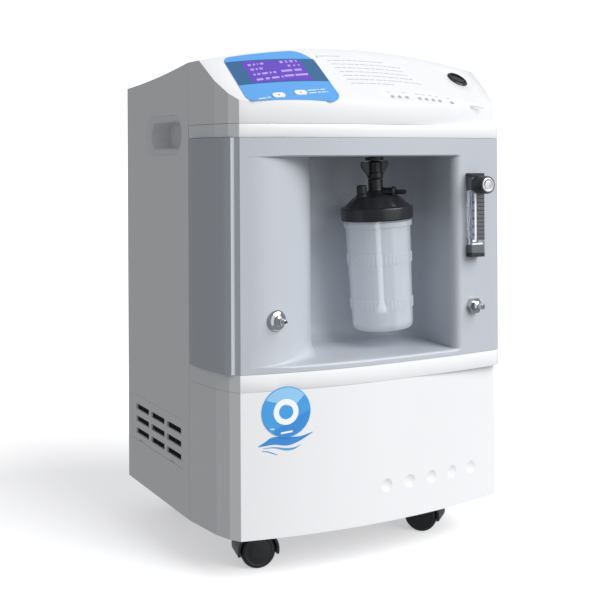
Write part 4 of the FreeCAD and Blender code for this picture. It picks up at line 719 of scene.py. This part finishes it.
knob_profile = [(0, -5.5), (2.45, -5.5), (2.45, 0)]
knob_profile += soften([(2.5, 0), (9.6, 0), (10.5, 1.6), (10.5, 16.8), (9.9, 18.5), (8.5, 18.5),
                        (8.5, 17.3), (0, 17.3)], 0.5, 2)
knob = piece("knob_grip", mesh_from("knob_grip", *turned(knob_profile, KNOB, 168, wave=knob_wave)),
             FINISH["black_plastic"], "knob")
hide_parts("flow_knob")
cap_profile = soften(
    [(0, 17.4), (8.4, 17.4), (8.4, 19.0), (7.6, 19.3), (6.3, 19.3), (6.0, 18.8), (5.2, 18.8), (4.9, 19.3),
     (0, 19.3)], 0.25, 2
)
cap = piece("knob_disc", mesh_from("knob_disc", *turned(cap_profile, KNOB, 64)), FINISH["knob_face"],
            "knob")
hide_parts("knob_cap")
ARC_START, ARC_SWEEP, ARC_STEPS = 60, 130, 14
arc_points, arc_faces = [], []
for k in range(ARC_STEPS + 1):
    angle = math.radians(ARC_START + ARC_SWEEP * k / ARC_STEPS)
    for radius in (5.25 + 0.9 * (1 - math.sin(math.pi * k / ARC_STEPS)), 6.2):
        for level in (18.6, 19.32):
            flat = Vector((radius * math.cos(angle), radius * math.sin(angle), level))
            arc_points.append(KNOB @ (flat * MM))
for k in range(ARC_STEPS):
    a = 4 * k
    arc_faces += [(a, a + 4, a + 5, a + 1), (a + 2, a + 3, a + 7, a + 6)]
    arc_faces += [(a + 1, a + 5, a + 7, a + 3), (a, a + 2, a + 6, a + 4)]
a = 4 * ARC_STEPS
arc_faces += [(0, 1, 3, 2), (a, a + 2, a + 3, a + 1)]
piece("knob_arc", mesh_from("knob_arc", arc_points, arc_faces), METER_BLACK, "knob")


def outlet_frame(mount, reach):
    """The frame of an outlet where it leaves the belt."""
    axis = Vector(MOUNTS[mount]["axis"])
    return frame_at(Vector(MOUNTS[mount]["pos_m"]) - axis * reach * MM, axis)


nozzle = [(0, -14), (5, -14), (5, 0.4), (11.5, 0.4), (11.5, 1.4), (9.8, 3.4), (6.2, 4.2), (5.8, 5),
          (5.8, 7), (3.2, 8.4)]
nozzle += [(3.2, 11), (3.7, 11.6), (3.2, 13.4), (3.2, 14.6), (3.6, 15.2), (2.7, 18), (1.6, 18), (1.6, 9),
           (0, 9)]
NOZZLE_REACH = 8.45
oxygen = piece(
    "oxygen_nozzle",
    mesh_from("oxygen_nozzle", *turned(soften(nozzle, 0.5, 3),
                                       outlet_frame("oxygen_outlet_nozzle", NOZZLE_REACH), 64)),
    FINISH["chrome_fitting"],
    "cabinet",
)
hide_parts("oxygen_outlet")

# ---------------------------------------------------------------- belt and its recess

BELT_LOW, BELT_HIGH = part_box("belt_panel")
BELT_SKIN = ray_tree("belt_panel")
FLOOR_LEVEL, CEILING_LEVEL = 0.2345, 0.462
# plan of the recess in millimetres: x from the middle, depth from the corner edges
SIDE_PLAN = ((89.6, 192.7), (60, 192.7), (32.5, 188), (17, 184.6), (11.8, 183), (5, 179.5))
SEAM_DEPTH = 90
ROLL_X, ROLL_DEPTH, ROLL_RADIUS = -138.4, 80.35, 86
ROLL_START = -103.2
RECESS_DEPTH = 96
BEND_X, BEND_DEPTH, BEND_RADIUS = 45, 41, 55
WALL_X = BEND_X + BEND_RADIUS
LIP_RADIUS = 10
LIP_SHARE = 3
RIGHT_COLUMNS = (110.4, 115, 120, 130, 140, 150, 160, 165, 169, 173, 176)
ROLL_FILLET, WALL_FILLET = 16, 20
FLOOR_LIP, CEILING_FILLET, CEILING_LIP, FLOOR_RISE = 3 * MM, 3 * MM, 1.5 * MM, 4.5 * MM
WALL_ROWS = (0.257, 0.29, 0.35, 0.41)
BELT_THICKNESS = 2.2 * MM


def belt_front(x):
    """Front of the belt above the recess at one distance from the middle, in millimetres."""
    start = Vector((x * MM, -1, BELT_HIGH.z - 8 * MM))
    return Vector((x * MM, BELT_SKIN.ray_cast(start, Vector((0, 1, 0)))[0].y, 0))


def in_plan(x, depth):
    return Vector((x * MM, EDGE_Y + depth * MM, 0))


def plain_column(spot):
    """A column of the belt with no recess behind it."""
    return spot, spot.copy(), 0


def side_columns(sign):
    """Columns of one side of the case, from the seam to the front."""
    half = BELT_HIGH.x / MM
    plan = [(SEAM_DEPTH, half)] + [(depth, min(x, half)) for depth, x in SIDE_PLAN]
    return [plain_column(in_plan(sign * x, depth)) for depth, x in plan]


def belt_columns():
    """Pairs of a point on the front and the recess wall behind it, and the depth of the fillet."""
    columns = side_columns(-1)
    columns += [plain_column(belt_front(x)) for x in (-175, -171, -167, -163)]
    for k in range(33):
        angle = math.radians(ROLL_START * (1 - k / 32))
        x = ROLL_X + ROLL_RADIUS * math.cos(angle)
        front = belt_front(x)
        wall = in_plan(x, ROLL_DEPTH + ROLL_RADIUS * math.sin(angle))
        wall.y = max(wall.y, front.y)
        columns.append((front, wall, ROLL_FILLET))
    crease = ROLL_X + ROLL_RADIUS
    for k in range(17):
        x = crease + (BEND_X - crease) * k / 16
        columns.append((belt_front(x), in_plan(x, RECESS_DEPTH), WALL_FILLET))
    for k in range(1, 17):
        angle = math.radians(90 * k / 16)
        x = BEND_X + BEND_RADIUS * math.sin(angle)
        wall = in_plan(x, BEND_DEPTH + BEND_RADIUS * math.cos(angle))
        columns.append((belt_front(x), wall, WALL_FILLET * (1 - k / 16)))
    corner = belt_front(WALL_X + LIP_RADIUS)
    lip_back = corner.y + LIP_RADIUS * MM
    for t in (0.02, 0.125, 0.25, 0.375, 0.5, 0.625, 0.75, 0.875, 0.97, 1):
        wall = in_plan(WALL_X, BEND_DEPTH)
        wall.y = wall.y * (1 - t) + lip_back * t
        columns.append((belt_front(WALL_X + LIP_SHARE * t), wall, 0))
    for k in range(1, 9):
        angle = math.radians(90 * k / 8)
        wall = Vector(((WALL_X + LIP_RADIUS * (1 - math.cos(angle))) * MM, 0, 0))
        wall.y = lip_back - LIP_RADIUS * MM * math.sin(angle)
        front = belt_front(WALL_X + LIP_SHARE + (LIP_RADIUS - LIP_SHARE) * k / 8)
        columns.append((front, wall, 0))
    columns += [plain_column(belt_front(x)) for x in RIGHT_COLUMNS]
    return columns + side_columns(1)[::-1]


def belt_profile(front, wall, fillet):
    """One column of the belt from its lower edge to its upper edge, as (run, level) rows."""
    gap = (wall - front).length
    reach = min(fillet * MM, 0.45 * gap)
    lip = min(FLOOR_LIP, 0.3 * gap)
    rise = min(FLOOR_RISE, 0.05 * gap)
    top = min(CEILING_FILLET, 0.3 * gap)
    edge = min(CEILING_LIP, 0.2 * gap)
    rows = [(0.0, BELT_LOW.z), (0.0, BELT_LOW.z + 0.3 * MM)]
    rows += [(0.0, FLOOR_LEVEL - lip - 0.4 * MM), (0.0, FLOOR_LEVEL - lip)]
    rows += [(lip * (1 - math.cos(a)), FLOOR_LEVEL - lip * (1 - math.sin(a))) for a in (0.4, 0.8, 1.2)]
    rows += [(lip + (gap - lip - reach) * t, FLOOR_LEVEL + rise * t) for t in (0, 0.25, 0.5, 0.75, 1)]
    for a in [math.radians(15 * k) for k in range(1, 7)]:
        rows.append((gap - reach + reach * math.sin(a), FLOOR_LEVEL + rise + reach * (1 - math.cos(a))))
    rows += [(gap, level) for level in WALL_ROWS]
    rows += [(gap, CEILING_LEVEL - top - MM), (gap, CEILING_LEVEL - top)]
    for a in (0.5, 1.0, 1.57):
        rows.append((gap - top * (1 - math.cos(a)), CEILING_LEVEL - top * (1 - math.sin(a))))
    rows += [(gap * 0.5, CEILING_LEVEL), (edge, CEILING_LEVEL), (0.0, CEILING_LEVEL + edge)]
    rows += [(0.0, CEILING_LEVEL + 2.2 * MM), (0.0, BELT_HIGH.z - 0.3 * MM), (0.0, BELT_HIGH.z)]
    along = (wall - front).normalized() if gap > 1e-6 else Vector((0, 0, 0))
    return [front + along * run + Vector((0, 0, level)) for run, level in rows]


belt_points, belt_faces = [], []
belt_list = belt_columns()
for front, wall, fillet in belt_list:
    belt_points += belt_profile(front, wall, fillet)
belt_rows = len(belt_points) // len(belt_list)
for i in range(len(belt_list) - 1):
    for j in range(belt_rows - 1):
        a = i * belt_rows + j
        belt_faces.append((a, a + belt_rows, a + belt_rows + 1, a + 1))
belt_mesh = mesh_from("belt_shell", belt_points, belt_faces)
foremost = min(belt_mesh.polygons, key=lambda face: face.center.y)
if foremost.normal.y > 0:
    belt_mesh.flip_normals()
belt = piece("belt_shell", belt_mesh, FINISH["grey_belt"], "cabinet")
thick = belt.modifiers.new("wall", "SOLIDIFY")
thick.thickness = BELT_THICKNESS
thick.offset = -1
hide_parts("belt_panel")

# ---------------------------------------------------------------- badge

BADGE_LOW, BADGE_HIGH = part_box("badge")
BADGE_SKIN = ray_tree("badge")
BADGE_X, BADGE_Z = (BADGE_LOW.x + BADGE_HIGH.x) / 2, (BADGE_LOW.z + BADGE_HIGH.z) / 2
BADGE_R = (BADGE_HIGH.z - BADGE_LOW.z) / 2
BADGE_RIM = 0.965
BADGE_PALE = finish_material("badge_pale", srgb(150, 205, 245), 0.3, bump=0.01, shift=0.03)
BADGE_DEEP = finish_material("badge_deep", srgb(58, 140, 215), 0.3, bump=0.01, shift=0.04)
BADGE_TEAL = finish_material("badge_teal", srgb(95, 165, 205), 0.3, bump=0.01, shift=0.04)
BADGE_WHITE = finish_material("badge_white", srgb(248, 252, 255), 0.35, bump=0.01, shift=0.01)


def on_badge(u, v, lift):
    """A point on the badge or the cover: u and v in badge radii, lift in millimetres."""
    start = Vector((BADGE_X + u * BADGE_R, -1, BADGE_Z + v * BADGE_R))
    back = Vector((0, 1, 0))
    hit = BADGE_SKIN.ray_cast(start, back)[0] or FRONT_SKIN.ray_cast(start, back)[0]
    return hit + Vector((0, -lift * MM, 0))


def badge_band(lower, upper, start, end, lift, rim_radius=9.0, steps=32, across=4):
    """A printed band of the badge between two curves v = lower(u) and v = upper(u)."""
    points, faces = [], []
    for layer in (lift, -0.1):
        for i in range(steps + 1):
            u = start + (end - start) * i / steps
            rim = math.sqrt(max(0.0, rim_radius**2 - u * u))
            for j in range(across + 1):
                v = lower(u) + (upper(u) - lower(u)) * j / across
                points.append(on_badge(u, max(-rim, min(rim, v)), layer))
    width = across + 1
    back = (steps + 1) * width
    for i in range(steps):
        for j in range(across):
            a = i * width + j
            faces.append((a, a + width, a + width + 1, a + 1))
            faces.append((back + a, back + a + 1, back + a + width + 1, back + a + width))
        for j in (0, across):
            a = i * width + j
            faces.append((a, a + width, back + a + width, back + a))
    return points, faces


def badge_ring(u, v, inner, outer, lift, steps=40):
    """A printed ring of the badge."""
    points, faces = [], []
    for i in range(steps):
        angle = 2 * math.pi * i / steps
        for radius, layer in ((inner, -0.1), (inner, lift), (outer, lift), (outer, -0.1)):
            points.append(on_badge(u + radius * math.cos(angle), v + radius * math.sin(angle), layer))
    for i in range(steps):
        j = (i + 1) % steps
        for k in range(4):
            m = (k + 1) % 4
            faces.append((i * 4 + k, j * 4 + k, j * 4 + m, i * 4 + m))
    return points, faces


def curve_through(*spots):
    """A smooth curve v(u) through a few points."""

    def value(u):
        last = len(spots) - 1
        i = max(0, min(last - 1, sum(1 for spot in spots if spot[0] <= u) - 1))
        (u0, v0), (u1, v1) = spots[i], spots[i + 1]
        before, after = spots[max(i - 1, 0)], spots[min(i + 2, last)]
        start = (v1 - before[1]) / (u1 - before[0]) * (u1 - u0)
        end = (after[1] - v0) / (after[0] - u0) * (u1 - u0)
        t = (u - u0) / (u1 - u0)
        lead = v0 * (1 + 2 * t) * (1 - t) ** 2 + start * t * (1 - t) ** 2
        return lead + v1 * t * t * (3 - 2 * t) - end * t * t * (1 - t)

    return value


WAVE_TOP = curve_through((-1.14, -1.28), (-0.85, -1.12), (-0.6, -0.97), (0.0, -0.98), (0.54, -1.01),
                         (1.1, -0.88))
WAVE_LOW = curve_through((-1.14, -1.31), (-0.5, -1.26), (0.05, -1.33), (0.55, -1.19), (1.1, -0.9))
LINE_TOP = curve_through((-0.95, -1.37), (-0.5, -1.35), (0.0, -1.43), (0.35, -1.42), (0.6, -1.33))
LINE_LOW = curve_through((-0.95, -1.39), (-0.5, -1.40), (0.0, -1.53), (0.35, -1.49), (0.6, -1.34))
TAIL_TOP = curve_through((-1.0, -1.47), (-0.75, -1.5), (-0.5, -1.6), (-0.35, -1.67))
TAIL_LOW = curve_through((-1.0, -1.49), (-0.75, -1.54), (-0.5, -1.64), (-0.35, -1.69))


def glow_edge(u):
    return max(0.25 - 0.3 * u, 0.16 + 1.1 * (u - 0.3))


def level_line(start, slope):
    """A straight line v(u) across the badge."""
    return lambda u: start + slope * u


glow = [badge_band(glow_edge, level_line(1.0, 0), -0.9, 0.75, 0.06, BADGE_RIM)]
shade = [badge_band(level_line(-1.0, 0), level_line(-0.45, 0.5), -0.5, 0.96, 0.08, BADGE_RIM)]
waves = [badge_band(WAVE_LOW, WAVE_TOP, -1.13, 1.09, 0.12)]
waves += [badge_band(TAIL_LOW, TAIL_TOP, -0.99, -0.36, 0.12)]
ripple = [badge_band(LINE_LOW, LINE_TOP, -0.94, 0.59, 0.12)]
lines = [badge_ring(-0.02, 0.0, 0.29, 0.51, 0.2)]
lines += [badge_band(level_line(-0.84, 0.1), level_line(-0.77, 0.1), -0.24, 0.24, 0.2)]
lines += [badge_band(level_line(-0.72, -0.1), level_line(-0.68, -0.1), -0.66, -0.5, 0.2)]
BADGE_MARKS = (
    ("badge_glow", BADGE_PALE, glow),
    ("badge_shade", BADGE_DEEP, shade),
    ("badge_wave", BADGE_DEEP, waves),
    ("badge_ripple", BADGE_TEAL, ripple),
    ("badge_lines", BADGE_WHITE, lines),
)
for name, look, parts in BADGE_MARKS:
    piece(name, mesh_from(name, *merge(parts)), look, "cabinet")

# ---------------------------------------------------------------- rounded moulding edges

# width of the rounding in millimetres
ROUNDED = {
    "lower_trim": 0.8,
    "upper_trim": 1.0,
    "control_housing": 1.6,
    "rear_shell": 1.2,
    "handle_cups": 1.4,
    "filter_door": 0.5,
    "switch_bezel": 0.5,
    "power_rocker": 0.5,
    "exhaust_grille": 0.4,
    "filter_tray": 0.5,
    "menu_button_left": 0.4,
    "menu_button_right": 0.4,
}
for name, width in ROUNDED.items():
    weld = NODES[name].modifiers.new("weld", "WELD")
    weld.merge_threshold = 0.02 * MM
    soft_edges(NODES[name], width, 2, 32)

# ---------------------------------------------------------------- key dots

DOT_PROFILE = [(0, -0.3), (1.3, -0.3), (1.3, 0.12), (0, 0.12)]
KEY_SKIN = {side: ray_tree(f"menu_button_{side}") for side in ("left", "right")}
for side, skin in KEY_SKIN.items():
    key_low, key_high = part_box(f"menu_button_{side}")
    middle = (key_low + key_high) / 2
    inward = Vector(JOINTS[f"button_{side}_press"]["axis"])
    inward = inward if inward.z < 0 else -inward
    seat = skin.ray_cast(middle - inward * 0.05, inward)[0]
    dot = turned(soften(DOT_PROFILE, 0.1, 2), frame_at(seat, -inward), 24)
    piece(f"key_dot_{side}", mesh_from(f"key_dot_{side}", *dot), KEY_ORANGE, f"button_{side}")

# ---------------------------------------------------------------- stage, camera and light

FLOOR_HALF = 60
FLOOR_CORNERS = [(x * FLOOR_HALF, y * FLOOR_HALF, 0) for x, y in ((-1, -1), (1, -1), (1, 1), (-1, 1))]
floor_mesh = bpy.data.meshes.new("studio_floor")
floor_mesh.from_pydata(FLOOR_CORNERS, [], [(0, 1, 2, 3)])
floor_mesh.materials.append(
    finish_material("studio_white", (0.94, 0.94, 0.945, 1), 0.8, grain=40, bump=0.0, shift=0.005,
                    emission=0.5)
)
floor = bpy.data.objects.new("studio_floor", floor_mesh)
floor.location.z = low.z
floor.visible_diffuse = False
floor.visible_glossy = False
bpy.context.scene.collection.objects.link(floor)
floor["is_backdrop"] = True

CAMERA_SPOT = (-0.667, -1.1779, CASE_TOP - 0.1305)
CAMERA_YAW, CAMERA_ROLL = -28.54, -0.27

camera_data = bpy.data.cameras.new("camera")
camera_data.lens = 64.74
camera_data.sensor_width = 36
camera_data.shift_y = -0.2367
camera_data.clip_end = 200
camera = bpy.data.objects.new("camera", camera_data)
camera.matrix_world = (
    Matrix.Translation(CAMERA_SPOT)
    @ Matrix.Rotation(math.radians(CAMERA_YAW), 4, "Z")
    @ Matrix.Rotation(math.radians(90), 4, "X")
    @ Matrix.Rotation(math.radians(CAMERA_ROLL), 4, "Z")
)
bpy.context.scene.collection.objects.link(camera)
bpy.context.scene.camera = camera


def soft_sun(name, towards, strength, spread):
    """A wide, soft light from one direction; the spread is in degrees."""
    data = bpy.data.lights.new(name, "SUN")
    data.energy = strength
    data.angle = math.radians(spread)
    lamp = bpy.data.objects.new(name, data)
    lamp.rotation_euler = Vector(towards).to_track_quat("Z", "Y").to_euler()
    lamp.location = Vector(towards) * 3
    bpy.context.scene.collection.objects.link(lamp)
    lamp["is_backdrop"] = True


soft_sun("key_light", (0.42, -0.67, 0.61), 2.9, 50)
soft_sun("front_light", (0.3, -0.95, 0.1), 0.5, 60)

world = bpy.data.worlds.new("studio")
world.use_nodes = True
links = world.node_tree.links
sky = world.node_tree.nodes["Background"]
sky.inputs["Color"].default_value = (0.97, 0.98, 1.0, 1)
sky.inputs["Strength"].default_value = 0.31
backdrop = world.node_tree.nodes.new("ShaderNodeBackground")
backdrop.inputs["Strength"].default_value = 1.6
seen = world.node_tree.nodes.new("ShaderNodeLightPath")
choice = world.node_tree.nodes.new("ShaderNodeMixShader")
links.new(seen.outputs["Is Camera Ray"], choice.inputs["Fac"])
links.new(sky.outputs["Background"], choice.inputs[1])
links.new(backdrop.outputs["Background"], choice.inputs[2])
links.new(choice.outputs["Shader"], world.node_tree.nodes["World Output"].inputs["Surface"])
bpy.context.scene.world = world
bpy.context.scene.view_settings.view_transform = "Standard"

low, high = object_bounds()
